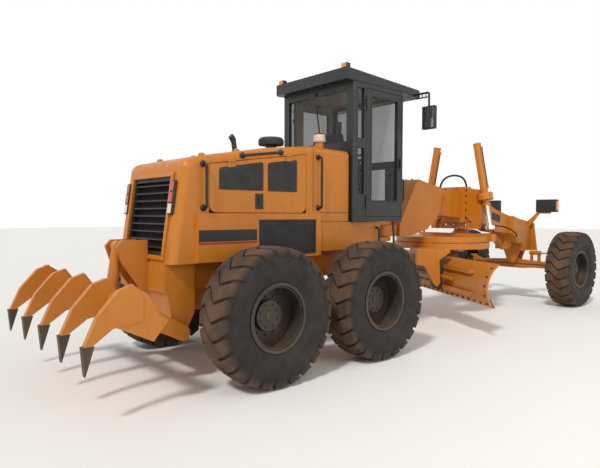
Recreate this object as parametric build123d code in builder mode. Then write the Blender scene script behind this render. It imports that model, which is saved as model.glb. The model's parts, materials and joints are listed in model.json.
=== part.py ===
"""Six-wheel motor grader with a cab, a long front frame, a turning blade and a rear ripper.

Millimetres. +X is the machine's right, +Y is forwards and +Z is up.
The origin is on the ground, under the middle of the machine's length.
"""
import os
from math import atan2, cos, hypot, pi, radians, sin, tan

from build123d import *

os.makedirs("parts", exist_ok=True)

# Wheels and stance
wheelbase = 6220          # tandem centre to front axle
tandem_spacing = 1540     # between the two rear wheels of one side
track = 2156
tyre_od = 1348            # over the lugs' tips
tyre_width = 410
rim_seat_d = 635
ripper_reach = 2535       # from the tandem centre back to the ripper's teeth
shaft_gap = 0.3           # round a shaft in its bore, and between seated faces
swing_gap = 8             # between pieces that move past each other

wheel_r = tyre_od / 2
tandem_y = (ripper_reach - wheelbase - wheel_r) / 2
front_axle_y = tandem_y + wheelbase
sides = (("left", -1), ("right", 1))


def finish(builder, name):
    """Label a finished piece and write it under its own name."""
    builder.part.label = name
    export_step(builder.part, f"parts/{name}.step")


def across(x, y, z, s=1):
    """A plane that looks along the width: local x points outboard, local y points up."""
    return Plane(origin=(x, y, z), x_dir=(s, 0, 0), z_dir=(0, -s, 0))


def side_plane(x):
    """A plane parallel to the machine's side: local x is Y and local y is Z."""
    return Plane.YZ.offset(x)


def polygon(points):
    """A closed face from a short list of corners."""
    Polygon(*points, align=None)


# Wheels: tyre and rim
bead_r = rim_seat_d / 2
sidewall = wheel_r - bead_r
flange_up = 18
flange_t = 14
rim_t = 16
spindle_r = 60
lug_count = 24
lug_h = 32                # tread depth
groove = 32               # between two lugs, along the tread
# out from the wheel's middle as a share of the width, up the sidewall as a share of its height
tyre_section = ((0.375, 0.0), (0.375, 0.08), (0.40, 0.14), (0.5, 0.42), (0.5, 0.58), (0.465, 0.86),
                (0.40, 1.0))
# where a lug's middle line runs: across as a share of the width, along the tread
lug_bends = ((-0.5, 20), (-0.27, 75), (0.07, -75), (0.5, 0))
disc_t = 18
rear_hub = {"disc": -60, "inner": 190, "outer": 10, "radius": 150}
front_hub = {"disc": 30, "inner": 70, "outer": 80, "radius": 105}
# name, side, place along the machine, hub
wheels = []
for side, s in sides:
    wheels.append((f"rear_{side}", s, tandem_y - tandem_spacing / 2, rear_hub))
    wheels.append((f"middle_{side}", s, tandem_y + tandem_spacing / 2, rear_hub))
    wheels.append((f"front_{side}", s, front_axle_y, front_hub))

# One tyre about the X axis: zigzag bars trimmed to the section, on a carcass with a lower crown
half = [(w * tyre_width, bead_r + h * sidewall) for w, h in tyre_section]
floor_r = wheel_r - lug_h
carcass = half[:5] + [(half[4][0] - 25, floor_r - 8), (half[6][0] - 20, floor_r)]
lug_half = (2 * pi * wheel_r / lug_count - groove) / 2
lug = [(u * tyre_width, v + lug_half) for u, v in lug_bends]
lug += [(u * tyre_width, v - lug_half) for u, v in reversed(lug_bends)]
with BuildPart() as tread:
    with BuildSketch(*[Plane.XY.rotated((i * 360 / lug_count, 0, 0)).offset(floor_r - 45)
                       for i in range(lug_count)]):
        polygon(lug)
    extrude(amount=lug_h + 60)
    with BuildSketch(Plane.XZ):
        polygon(half + [(-w, r) for w, r in reversed(half)])
    revolve(axis=Axis.X, mode=Mode.INTERSECT)
    with BuildSketch(Plane.XZ):
        polygon(carcass + [(-w, r) for w, r in reversed(carcass)])
    revolve(axis=Axis.X)

for name, s, y, hub in wheels:
    middle = across(s * track / 2, y, wheel_r, s)
    axle_line = Axis((s * track / 2, y, wheel_r), (1, 0, 0))
    with BuildPart() as tyre:
        add(tread.part.moved(Location((s * track / 2, y, wheel_r), (0, 0, 90 - 90 * s))))
    finish(tyre, f"tyre_{name}")

    seat_r = bead_r - shaft_gap
    inner_r = seat_r - rim_t
    lip_in = half[0][0] + shaft_gap
    lip_out = lip_in + flange_t
    lip_r = bead_r + flange_up
    face_out, face_in = hub["disc"] + disc_t / 2, hub["disc"] - disc_t / 2
    bore_r = spindle_r + shaft_gap
    with BuildPart() as rim:
        with BuildSketch(middle):
            polygon([
                (-lip_out, inner_r), (-lip_out, lip_r), (-lip_in, lip_r), (-lip_in, seat_r),
                (lip_in, seat_r), (lip_in, lip_r), (lip_out, lip_r), (lip_out, inner_r),
                (face_out, inner_r), (face_out, hub["radius"]), (hub["outer"], hub["radius"]),
                (hub["outer"], 0), (hub["outer"] - 2 * disc_t, 0), (hub["outer"] - 2 * disc_t, bore_r),
                (-hub["inner"], bore_r), (-hub["inner"], hub["radius"]),
                (face_in, hub["radius"]), (face_in, inner_r),
            ])
        revolve(axis=axle_line)
    finish(rim, f"rim_{name}")

# Tandem cases, which carry the four rear wheels and rock on the rear axle
tandem_in = 640
tandem_w = 190
tandem_end_r = 185
tandem_mid_r = 245
axle_r = 110
axle_grip = 90
for side, s in sides:
    with BuildPart() as tandem:
        with BuildSketch(side_plane(s * tandem_in)):
            with Locations((tandem_y, wheel_r)):
                Circle(tandem_mid_r)
            with Locations((tandem_y - tandem_spacing / 2, wheel_r), (tandem_y + tandem_spacing / 2, wheel_r)):
                Circle(tandem_end_r)
            make_hull()
        extrude(amount=s * tandem_w)
        fillet(tandem.edges().filter_by(Plane.YZ), 20)
        spindle_end = track / 2 + rear_hub["outer"] - 2 * disc_t - shaft_gap
        with BuildSketch(side_plane(s * (tandem_in + tandem_w))):
            with Locations((tandem_y - tandem_spacing / 2, wheel_r), (tandem_y + tandem_spacing / 2, wheel_r)):
                Circle(spindle_r)
        extrude(amount=s * (spindle_end - tandem_in - tandem_w))
        with BuildSketch(side_plane(s * tandem_in)):
            with Locations((tandem_y, wheel_r)):
                Circle(axle_r + shaft_gap)
        extrude(amount=s * axle_grip, mode=Mode.SUBTRACT)
    finish(tandem, f"tandem_{side}")

# Rear axle
axle_half = tandem_in + axle_grip - shaft_gap
deck_bottom = 900
diff_r = 215
with BuildPart() as rear_axle:
    with BuildSketch(across(0, tandem_y, wheel_r)):
        polygon([(-axle_half, 0), (-axle_half, axle_r), (-260, axle_r), (-120, diff_r), (120, diff_r),
                 (260, axle_r), (axle_half, axle_r), (axle_half, 0)])
    revolve(axis=Axis((0, tandem_y, wheel_r), (1, 0, 0)))
    for s in (-1, 1):
        with BuildSketch(Plane.XY.offset(wheel_r)):
            with Locations((s * 350, tandem_y)):
                Rectangle(130, 300)
        extrude(amount=deck_bottom - shaft_gap - wheel_r)
finish(rear_axle, "rear_axle")

# Rear frame
deck_half = 420
deck_top = 1170
deck_rear = tandem_y - 1500
deck_front = tandem_y + 1500
box_half = 600
box_rear = tandem_y + 360
box_front = tandem_y + 1430
box_bottom = 1220
cab_base_z = 1560
block_half = 500
block_rear = tandem_y - 1560
block_front = tandem_y - 1240
boss_y = tandem_y - 1400
boss_z = 510
boss_r = 70
ripper_pin_r = 38
arm_t = 50
tower_in, tower_out = 110, 150
tower_pin_y = tandem_y - 1800
tower_pin_z = 1330
tower_pin_r = 28
pivot_y = tandem_y + 2180
ear_r = 130
ear_t = 60
ear_low_z = 1262
ear_high_z = cab_base_z - ear_t
hitch_pin_r = 60
with BuildPart() as rear_frame:
    with BuildSketch(Plane.XY.offset(deck_bottom)):
        with Locations((0, (deck_rear + deck_front) / 2)):
            Rectangle(2 * deck_half, deck_front - deck_rear)
    extrude(amount=deck_top - deck_bottom)
    with BuildSketch(side_plane(-box_half)):
        polygon([(box_rear, box_bottom), (box_rear, cab_base_z - 5), (box_front, cab_base_z - 5),
                 (box_front, box_bottom)])
    extrude(amount=2 * box_half)
    with BuildSketch(Plane.XY.offset(deck_top - 1)):
        with Locations((0, (box_rear + box_front) / 2)):
            Rectangle(2 * deck_half, box_front - box_rear)
    extrude(amount=box_bottom - deck_top + 2)
    # block behind the rear wheels, which carries the ripper
    with BuildSketch(side_plane(-block_half)):
        polygon([(block_rear, deck_top), (block_front, deck_top), (block_front, boss_z + 180),
                 (boss_y + boss_r, boss_z), (boss_y - boss_r, boss_z), (block_rear + 30, deck_bottom - 20),
                 (block_rear, deck_bottom)])
        with Locations((boss_y, boss_z)):
            Circle(boss_r)
    extrude(amount=2 * block_half)
    with BuildSketch(side_plane(-block_half - swing_gap - arm_t)):
        with Locations((boss_y, boss_z)):
            Circle(ripper_pin_r)
    extrude(amount=2 * (block_half + swing_gap + arm_t))
    # cheeks that hold the top of the ripper's cylinder
    for s in (-1, 1):
        with BuildSketch(side_plane(s * tower_in)):
            polygon([(block_rear + 1, deck_bottom), (block_rear + 1, tower_pin_z + 60),
                     (tower_pin_y - 20, tower_pin_z + 60), (tower_pin_y - 75, tower_pin_z),
                     (tower_pin_y - 20, tower_pin_z - 160), (block_rear - 60, deck_bottom)])
        extrude(amount=s * (tower_out - tower_in))
    with BuildSketch(side_plane(-tower_in)):
        with Locations((tower_pin_y, tower_pin_z)):
            Circle(tower_pin_r)
    extrude(amount=2 * tower_in)
    # hitch ears and the upright pin that the front frame turns on
    for z in (ear_low_z, ear_high_z):
        with BuildSketch(Plane.XY.offset(z)):
            with Locations((0, pivot_y)):
                Circle(ear_r)
            with Locations((0, box_front - 50)):
                Rectangle(2 * 330, 100)
            make_hull()
        extrude(amount=ear_t)
    with BuildSketch(Plane.XY.offset(ear_low_z - 20)):
        with Locations((0, pivot_y)):
            Circle(hitch_pin_r)
    extrude(amount=ear_high_z + ear_t + 40 - ear_low_z)
finish(rear_frame, "rear_frame")

# Engine
engine_rear = tandem_y - 1150
engine_front = tandem_y + 150
with BuildPart() as engine:
    with BuildSketch(Plane.XY.offset(deck_top + shaft_gap)):
        with Locations((0, (engine_rear + engine_front) / 2)):
            Rectangle(640, engine_front - engine_rear)
    extrude(amount=850)
    chamfer(engine.edges().group_by(Axis.Z)[-1], 60)
finish(engine, "engine")

# Hood: a hollow shell with a doorway on each side and the radiator's opening at the back
hood_half = 600
hood_wall = 30
hood_bottom = deck_top + shaft_gap
hood_front = tandem_y + 831
hood_step_y = box_rear - 10
# along the machine from the tandem centre, up
hood_side = ((-1545, hood_bottom), (-1400, 2165), (-1190, 2217), (-395, 2355), (227, 2425), (831, 2413),
             (831, cab_base_z), (hood_step_y - tandem_y, cab_base_z), (hood_step_y - tandem_y, hood_bottom))
belt_half = 630
belt_top = 1655
belt_rear = tandem_y - 1290
grille_half = 410
grille_low, grille_high = 1245, 2005
door_rear = tandem_y - 1130
door_front = tandem_y + 136
door_low = 1662
door_high_rear, door_high_front = 2135, 2318
door_gap = 6
cap_x, cap_y, cap_low = 350, tandem_y + 580, 2520
cap_post_r = 55
side_vent = {"rear": tandem_y - 550, "front": tandem_y + 270, "low": 1200, "high": 1590}


def door_outline(grow):
    """The side door's outline, larger all round by a gap."""
    return [(door_rear - grow, door_low - grow), (door_rear - grow, door_high_rear + grow),
            (door_front + grow, door_high_front + grow), (door_front + grow, door_low - grow)]


hinge_r = 8
hinge_out = hood_half + hinge_r + 1
hinge_slope = atan2(door_high_front - door_high_rear, door_front - door_rear)
hinge_shares = (0.2, 0.8)
leaf_t = 4
leaf_l = 90


def hinge_plane(s, share):
    """A plane square to a hood door's hinge line, a share of the way along it; local y points down."""
    at_y = door_rear + share * (door_front - door_rear)
    at_z = door_high_rear + share * (door_high_front - door_high_rear) + door_gap / 2
    return Plane(origin=(s * hinge_out, at_y, at_z), x_dir=(1, 0, 0),
                 z_dir=(0, cos(hinge_slope), sin(hinge_slope)))


with BuildPart() as hood:
    with BuildSketch(side_plane(-hood_half)) as hood_face:
        polygon([(tandem_y + y, z) for y, z in hood_side])
        fillet(hood_face.vertices().sort_by(lambda v: hypot(v.X - tandem_y + 1400, v.Y - 2165))[0], 110)
    extrude(amount=2 * hood_half)
    rounded = hood.edges().filter_by(
        lambda e: abs(abs(e.center().X) - hood_half) < 1
        and (e.center().Z > 2100 or e.center().Y < tandem_y - 1400))
    fillet(rounded, 70)
    # belt: the lower body is a little wider
    for s in (-1, 1):
        with BuildSketch(side_plane(s * (hood_half - 5))):
            polygon([(belt_rear, hood_bottom), (belt_rear, belt_top), (hood_step_y, belt_top),
                     (hood_step_y, hood_bottom)])
        extrude(amount=s * (belt_half - hood_half + 5), taper=8)
        # fixed knuckles on each side of the door's own, with their leaves above the doorway
        for share in hinge_shares:
            for end in (-1, 1):
                with BuildSketch(hinge_plane(s, share).offset(
                        end * (leaf_l / 2 + leaf_l / 4 + shaft_gap) - leaf_l / 4)):
                    Circle(hinge_r)
                    with Locations((-s * (hinge_out - hood_half - leaf_t / 2 + 1), -20)):
                        Rectangle(leaf_t + 2, 40)
                    with Locations((-s * (hinge_r - 1), -4)):
                        Rectangle(8, 8)
                extrude(amount=leaf_l / 2)
    # post below the round cap
    with BuildSketch(Plane.XY.offset(2400)):
        with Locations((cap_x, cap_y)):
            Circle(cap_post_r)
    extrude(amount=cap_low - 2400)
    # hollow
    with BuildSketch(side_plane(-hood_half + hood_wall)):
        polygon([(tandem_y + y, z) for y, z in hood_side])
        offset(amount=-hood_wall, kind=Kind.INTERSECTION)
        with Locations(((deck_rear + hood_step_y) / 2, hood_bottom + hood_wall)):
            Rectangle(hood_step_y - deck_rear - 2 * hood_wall, 2 * hood_wall)
    extrude(amount=2 * (hood_half - hood_wall), mode=Mode.SUBTRACT)
    # radiator opening
    with Locations((0, tandem_y - 1450, (grille_low + grille_high) / 2)):
        Box(2 * grille_half, 400, grille_high - grille_low, mode=Mode.SUBTRACT)
    # doorways
    with BuildSketch(side_plane(-belt_half)):
        polygon(door_outline(door_gap))
    extrude(amount=2 * belt_half, mode=Mode.SUBTRACT)
    with BuildSketch(side_plane(-belt_half - 5)):
        with Locations(((side_vent["rear"] + side_vent["front"]) / 2,
                        (side_vent["low"] + side_vent["high"]) / 2)):
            Rectangle(side_vent["front"] - side_vent["rear"], side_vent["high"] - side_vent["low"])
    extrude(amount=2 * belt_half + 10, mode=Mode.SUBTRACT)
finish(hood, "hood")

# Hood doors, hinged along their top edges
vent_depth = 12
# rear edge, front edge, bottom, height at the rear, height at the front
vents = ((-1020, -470, 1890, 2070, 2125), (-410, 0, 1890, 2130, 2170))
for side, s in sides:
    with BuildPart() as hood_door:
        with BuildSketch(side_plane(s * hood_half)) as door_face:
            polygon(door_outline(0))
            fillet(door_face.vertices().group_by(Axis.Y)[0], 80)
        extrude(amount=-s * hood_wall)
        with BuildSketch(side_plane(s * hood_half)):
            for rear, front, low, high_rear, high_front in vents:
                polygon([(tandem_y + rear, low), (tandem_y + rear, high_rear), (tandem_y + front, high_front),
                         (tandem_y + front, low)])
        extrude(amount=-s * vent_depth, mode=Mode.SUBTRACT)
        for share in hinge_shares:
            with BuildSketch(hinge_plane(s, share).offset(-leaf_l / 2)):
                Circle(hinge_r)
                with Locations((-s * (hinge_out - hood_half - leaf_t / 2 + 1), 32)):
                    Rectangle(leaf_t + 2, 50)
                with Locations((-s * (hinge_r - 1), 6)):
                    Rectangle(8, 12)
            extrude(amount=leaf_l)
    finish(hood_door, f"hood_door_{side}")

# Grilles: the radiator's at the back and one in each side of the belt
rear_lean = atan2(145, 2165 - hood_bottom)
grille_mid_z = (grille_low + grille_high) / 2
grille_mid_y = tandem_y - 1545 + (grille_mid_z - hood_bottom) * tan(rear_lean)
slat_count = 9
slat_t = 14
slat_depth = 50
frame_w = 30
rear_face = Plane(origin=(0, grille_mid_y, grille_mid_z), x_dir=(1, 0, 0),
                  z_dir=(0, -cos(rear_lean), sin(rear_lean)))
with BuildPart() as grilles:
    g_w, g_h = 2 * (grille_half - shaft_gap), (grille_high - grille_low) / cos(rear_lean) - 14
    with BuildSketch(rear_face.offset(-slat_depth)):
        Rectangle(g_w, g_h)
        Rectangle(g_w - 2 * frame_w, g_h - 2 * frame_w, mode=Mode.SUBTRACT)
    extrude(amount=slat_depth - 5)
    with BuildSketch(rear_face.offset(-slat_depth)):
        with GridLocations(0, (g_h - 2 * frame_w) / slat_count, 1, slat_count):
            Rectangle(g_w - frame_w, slat_t)
    extrude(amount=slat_depth - 10)
    for s in (-1, 1):
        with BuildSketch(side_plane(s * (hood_half - 25))):
            with Locations(((side_vent["rear"] + side_vent["front"]) / 2,
                            (side_vent["low"] + side_vent["high"]) / 2)):
                Rectangle(side_vent["front"] - side_vent["rear"] - 2 * shaft_gap,
                          side_vent["high"] - side_vent["low"] - 2 * shaft_gap)
        extrude(amount=s * 40)
finish(grilles, "grilles")

# Cab: a hollow shell with its roof
cab_half = 660
cab_rear = tandem_y + 850
cab_front = tandem_y + 1820
cab_wall = 50
cab_top = 3262
roof_rear = tandem_y + 725
roof_front = tandem_y + 2170
cab_door = {"rear": tandem_y + 1085, "front": tandem_y + 1775, "low": 1625, "high": cab_top - 67}
door_window = {"rear": cab_door["rear"] + 95, "front": cab_door["front"] - 85,
               "low": cab_door["low"] + 195, "high": cab_door["high"] - 85}
cab_hinges = (cab_door["low"] + 175, cab_door["high"] - 175)
pane_head = cab_top - 102
sash_z = 2520             # rail between the upper and lower quarter panes
# inner face of the wall, pane's width, foot, head
end_panes = ((cab_rear, 1080, 2540, pane_head), (cab_front - cab_wall, 1120, 2360, pane_head),
             (cab_front - cab_wall, 760, 1840, 2260))
# foot, head
quarter_panes = ((sash_z + 60, cab_top - 72), (1900, sash_z - 60))
quarter_y, quarter_w = tandem_y + 985, 110
with BuildPart() as cab_shell:
    with BuildSketch(Plane.XY.offset(cab_base_z)):
        with Locations((0, (cab_rear + cab_front) / 2)):
            Rectangle(2 * cab_half, cab_front - cab_rear)
    extrude(amount=cab_top - cab_base_z)
    fillet(cab_shell.edges().filter_by(Axis.Z), 30)
    with BuildSketch(side_plane(-cab_half)) as roof_face:
        polygon([(roof_rear, cab_top - 2), (roof_rear, cab_top + 138), (roof_front, cab_top + 68),
                 (roof_front, cab_top - 62), (cab_front - 5, cab_top - 2)])
        fillet(roof_face.vertices().group_by(Axis.X)[-1], 50)
    extrude(amount=2 * cab_half)
    with BuildSketch(Plane.XY.offset(cab_base_z + cab_wall)):
        with Locations((0, (cab_rear + cab_front) / 2)):
            Rectangle(2 * (cab_half - cab_wall), cab_front - cab_rear - 2 * cab_wall)
    extrude(amount=cab_top - cab_base_z - 2 * cab_wall, mode=Mode.SUBTRACT)
    for wall_y, w, low, high in end_panes:
        with BuildSketch(Plane.XZ.offset(-wall_y + 1)):
            with Locations((0, (low + high) / 2)):
                Rectangle(w, high - low)
        extrude(amount=-cab_wall - 2, mode=Mode.SUBTRACT)
    with BuildSketch(side_plane(-cab_half - 1)):
        for low, high in quarter_panes:
            with Locations((quarter_y, (low + high) / 2)):
                Rectangle(quarter_w, high - low)
        with Locations(((cab_door["rear"] + cab_door["front"]) / 2,
                        (cab_door["low"] + cab_door["high"]) / 2)):
            Rectangle(cab_door["front"] - cab_door["rear"] + 2 * door_gap,
                      cab_door["high"] - cab_door["low"] + 2 * door_gap)
    extrude(amount=2 * cab_half + 2, mode=Mode.SUBTRACT)
    # fixed knuckles of the door hinges
    for s in (-1, 1):
        for z in cab_hinges:
            for end in (-1, 1):
                with BuildSketch(Plane.XY.offset(z + end * (leaf_l * 0.75 + shaft_gap) - leaf_l / 4)):
                    with Locations((s * (cab_half + hinge_r + 1), cab_door["rear"] - door_gap / 2)):
                        Circle(hinge_r)
                    with Locations((s * (cab_half + leaf_t / 2 - 1), cab_door["rear"] - door_gap / 2 - 30)):
                        Rectangle(leaf_t + 2, 50)
                    with Locations((s * (cab_half + leaf_t / 2), cab_door["rear"] - door_gap / 2 - 6)):
                        Rectangle(leaf_t, 12)
                extrude(amount=leaf_l / 2)
finish(cab_shell, "cab_shell")

# Cab glass: the panes that don't open
glass_t = 6
with BuildPart() as cab_glass:
    for wall_y, w, low, high in end_panes:
        with BuildSketch(Plane.XZ.offset(-(wall_y + cab_wall / 2 - glass_t / 2))):
            with Locations((0, (low + high) / 2)):
                Rectangle(w - 2 * shaft_gap, high - low - 2 * shaft_gap)
        extrude(amount=-glass_t)
    for s in (-1, 1):
        with BuildSketch(side_plane(s * (cab_half - cab_wall / 2))):
            for low, high in quarter_panes:
                with Locations((quarter_y, (low + high) / 2)):
                    Rectangle(quarter_w - 2 * shaft_gap, high - low - 2 * shaft_gap)
        extrude(amount=s * glass_t)
finish(cab_glass, "cab_glass")

# Cab doors, hinged at their rear edges, and their glass
for side, s in sides:
    with BuildPart() as door:
        with BuildSketch(side_plane(s * (cab_half - cab_wall))):
            with Locations(((cab_door["rear"] + cab_door["front"]) / 2,
                            (cab_door["low"] + cab_door["high"]) / 2)):
                Rectangle(cab_door["front"] - cab_door["rear"], cab_door["high"] - cab_door["low"])
            with Locations(((door_window["rear"] + door_window["front"]) / 2,
                            (door_window["low"] + door_window["high"]) / 2)):
                Rectangle(door_window["front"] - door_window["rear"],
                          door_window["high"] - door_window["low"],
                          mode=Mode.SUBTRACT)
        extrude(amount=s * cab_wall)
        for z in cab_hinges:
            with BuildSketch(Plane.XY.offset(z - leaf_l / 2)):
                with Locations((s * (cab_half + hinge_r + 1), cab_door["rear"] - door_gap / 2)):
                    Circle(hinge_r)
                with Locations((s * (cab_half + leaf_t / 2 - 1), cab_door["rear"] - door_gap / 2 + 30)):
                    Rectangle(leaf_t + 2, 50)
                with Locations((s * (cab_half + leaf_t / 2), cab_door["rear"] - door_gap / 2 + 6)):
                    Rectangle(leaf_t, 12)
            extrude(amount=leaf_l)
    finish(door, f"cab_door_{side}")
    with BuildPart() as pane:
        with BuildSketch(side_plane(s * (cab_half - cab_wall / 2))):
            with Locations(((door_window["rear"] + door_window["front"]) / 2,
                            (door_window["low"] + door_window["high"]) / 2)):
                Rectangle(door_window["front"] - door_window["rear"] - 2 * shaft_gap,
                          door_window["high"] - door_window["low"] - 2 * shaft_gap)
        extrude(amount=s * glass_t)
    finish(pane, f"door_glass_{side}")

# Seat
floor_z = cab_base_z + cab_wall
seat_rear = cab_rear + cab_wall + 90
with BuildPart() as seat:
    with BuildSketch(side_plane(-250)) as seat_face:
        polygon([(seat_rear + 130, floor_z + shaft_gap), (seat_rear + 130, floor_z + 380),
                 (seat_rear, floor_z + 1080), (seat_rear + 110, floor_z + 1100), (seat_rear + 200,
                                                                                  floor_z + 520),
                 (seat_rear + 500, floor_z + 540), (seat_rear + 500, floor_z + 400), (seat_rear + 420,
                                                                                      floor_z + 360),
                 (seat_rear + 420, floor_z + shaft_gap)])
    extrude(amount=500)
finish(seat, "seat")

# Console: the column with its steering wheel
column_y = cab_front - cab_wall - 60
wheel_tilt = Plane(origin=(0, column_y - 190, floor_z + 758), x_dir=(1, 0, 0), z_dir=(0, -0.5, 0.87))
with BuildPart() as console:
    with BuildSketch(side_plane(-90)):
        polygon([(column_y - 140, floor_z + shaft_gap), (column_y - 230, floor_z + 740),
                 (column_y - 120, floor_z + 800), (column_y, floor_z + shaft_gap)])
    extrude(amount=180)
    with BuildSketch(wheel_tilt):
        Circle(200)
        Circle(172, mode=Mode.SUBTRACT)
        Rectangle(360, 40)
        Circle(45)
    extrude(amount=24)
finish(console, "console")

# Stacks on the hood: exhaust, air cleaner and round cap
# across, along from the tandem centre, radius, length, the two hood corners it stands between
stacks_table = ((150, -520, 28, 150, 2, 3), (200, -50, 60, 70, 3, 4))
with BuildPart() as stacks:
    for x, y, r, length, a, b in stacks_table:
        (y0, z0), (y1, z1) = hood_side[a], hood_side[b]
        z = z0 + (y - y0) * (z1 - z0) / (y1 - y0) + shaft_gap
        with BuildSketch(Plane(origin=(x, tandem_y + y, z), x_dir=(1, 0, 0), z_dir=(0, z0 - z1, y1 - y0))):
            Circle(r)
        extrude(amount=length)
    with BuildSketch(Plane.XY.offset(2440)):
        with Locations((200, tandem_y - 50)):
            Circle(145)
    extrude(amount=90)
    fillet(stacks.edges().group_by(Axis.Z)[-1], 40)
    with BuildSketch(Plane.XY.offset(cap_low + shaft_gap)):
        with Locations((cap_x, cap_y)):
            Circle(cap_post_r + 15)
    extrude(amount=100)
finish(stacks, "stacks")

# Rear and roof lamps
roof_slope = atan2(70, roof_front - roof_rear)
with BuildPart() as rear_lamps:
    with BuildSketch(rear_face.offset(shaft_gap)):
        with Locations((-490, (1800 - grille_mid_z) / cos(rear_lean)),
                       (490, (1800 - grille_mid_z) / cos(rear_lean))):
            RectangleRounded(76, 330, 20)
    extrude(amount=32)
    roof_lamp_y = roof_rear + 60
    roof_lamp_z = cab_top + 138 - (roof_lamp_y - roof_rear) * tan(roof_slope) + shaft_gap
    with BuildSketch(Plane(origin=(0, roof_lamp_y, roof_lamp_z), x_dir=(1, 0, 0),
                           z_dir=(0, sin(roof_slope), cos(roof_slope)))):
        with Locations((-590, 0), (590, 0)):
            RectangleRounded(90, 70, 12)
    extrude(amount=62)
finish(rear_lamps, "rear_lamps")

# Handrails, ladders and mirrors
rail_r = 14
rail_x = 668
mirror_x, mirror_y, mirror_z = 870, tandem_y + 2090, cab_top - 332
# corners of each tube on the right side: across, along from the tandem centre, up
tubes = (((hood_half, -1200, 1705), (rail_x, -1200, 1705), (rail_x, -1200, 2130), (hood_half, -1200, 2130)),
         ((hood_half, 320, 1720), (rail_x, 320, 1720), (rail_x, 320, 2300), (hood_half, 320, 2300)),
         ((hood_half, -740, 2242), (rail_x - 15, -740, 2242), (rail_x - 15, -235, 2312),
          (hood_half, -235, 2312)),
         ((cab_half - 60, 1820, 1825), (cab_half - 60, 1905, 1825),
          (cab_half - 60, 1905, 2110), (cab_half - 60, 1820, 2110)),
         ((box_half, 1345, 1480), (rail_x - 15, 1345, 1480), (rail_x - 15, 1345, 760)),
         ((cab_half - 20, 1640, cab_base_z), (cab_half - 20, 1640, 1480),
          (rail_x - 15, 1640, 1400), (rail_x - 15, 1640, 760)),
         ((cab_half, 2080, cab_top), (mirror_x, 2080, cab_top), (mirror_x, 2080, cab_top - 262)))
steps = (770, 1010, 1250)
with BuildPart() as handrails:
    for s in (-1, 1):
        for corners in tubes:
            places = [Vector(s * x, tandem_y + y, z) for x, y, z in corners]
            places[0] = places[0] + (places[1] - places[0]).normalized() * shaft_gap
            if corners[0][2] > 1700 and len(corners) == 4:
                places[3] = places[3] + (places[2] - places[3]).normalized() * shaft_gap
            with BuildLine() as path:
                FilletPolyline(*places, radius=30)
            with BuildSketch(Plane(origin=path.line @ 0, z_dir=path.line % 0)):
                Circle(rail_r)
            sweep(path=path.line)
        for z in steps:
            with Locations((s * (rail_x - 10), tandem_y + 1492, z)):
                Box(110, 310, 24)
        with Locations((s * mirror_x, mirror_y, mirror_z)):
            Box(190, 60, 300)
finish(handrails, "handrails")

# Front frame: the neck on the hitch pin, the gooseneck, the long beam and the nose over the axle
neck_low, neck_high = ear_low_z + ear_t + swing_gap, ear_high_z - swing_gap
goose_half = 210
beam_half = 150
nose_half = 230
plate_rear = front_axle_y + 180
plate_t = 40
beam_top, beam_bottom = 2050, 1600
saddle_y = tandem_y + 4120
ball_r = 60
ball_y, ball_z = front_axle_y - 570, 1100
axle_pin_z = 760
axle_pin_r = 45
lug_in, lug_out = 85, 135
lamp_x, lamp_y, lamp_low = 570, front_axle_y + 110, 1700


def along(points, start=tandem_y):
    """Corners given along the machine from a start, by default the tandem centre, as places in its frame."""
    return [(start + y, z) for y, z in points]


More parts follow.
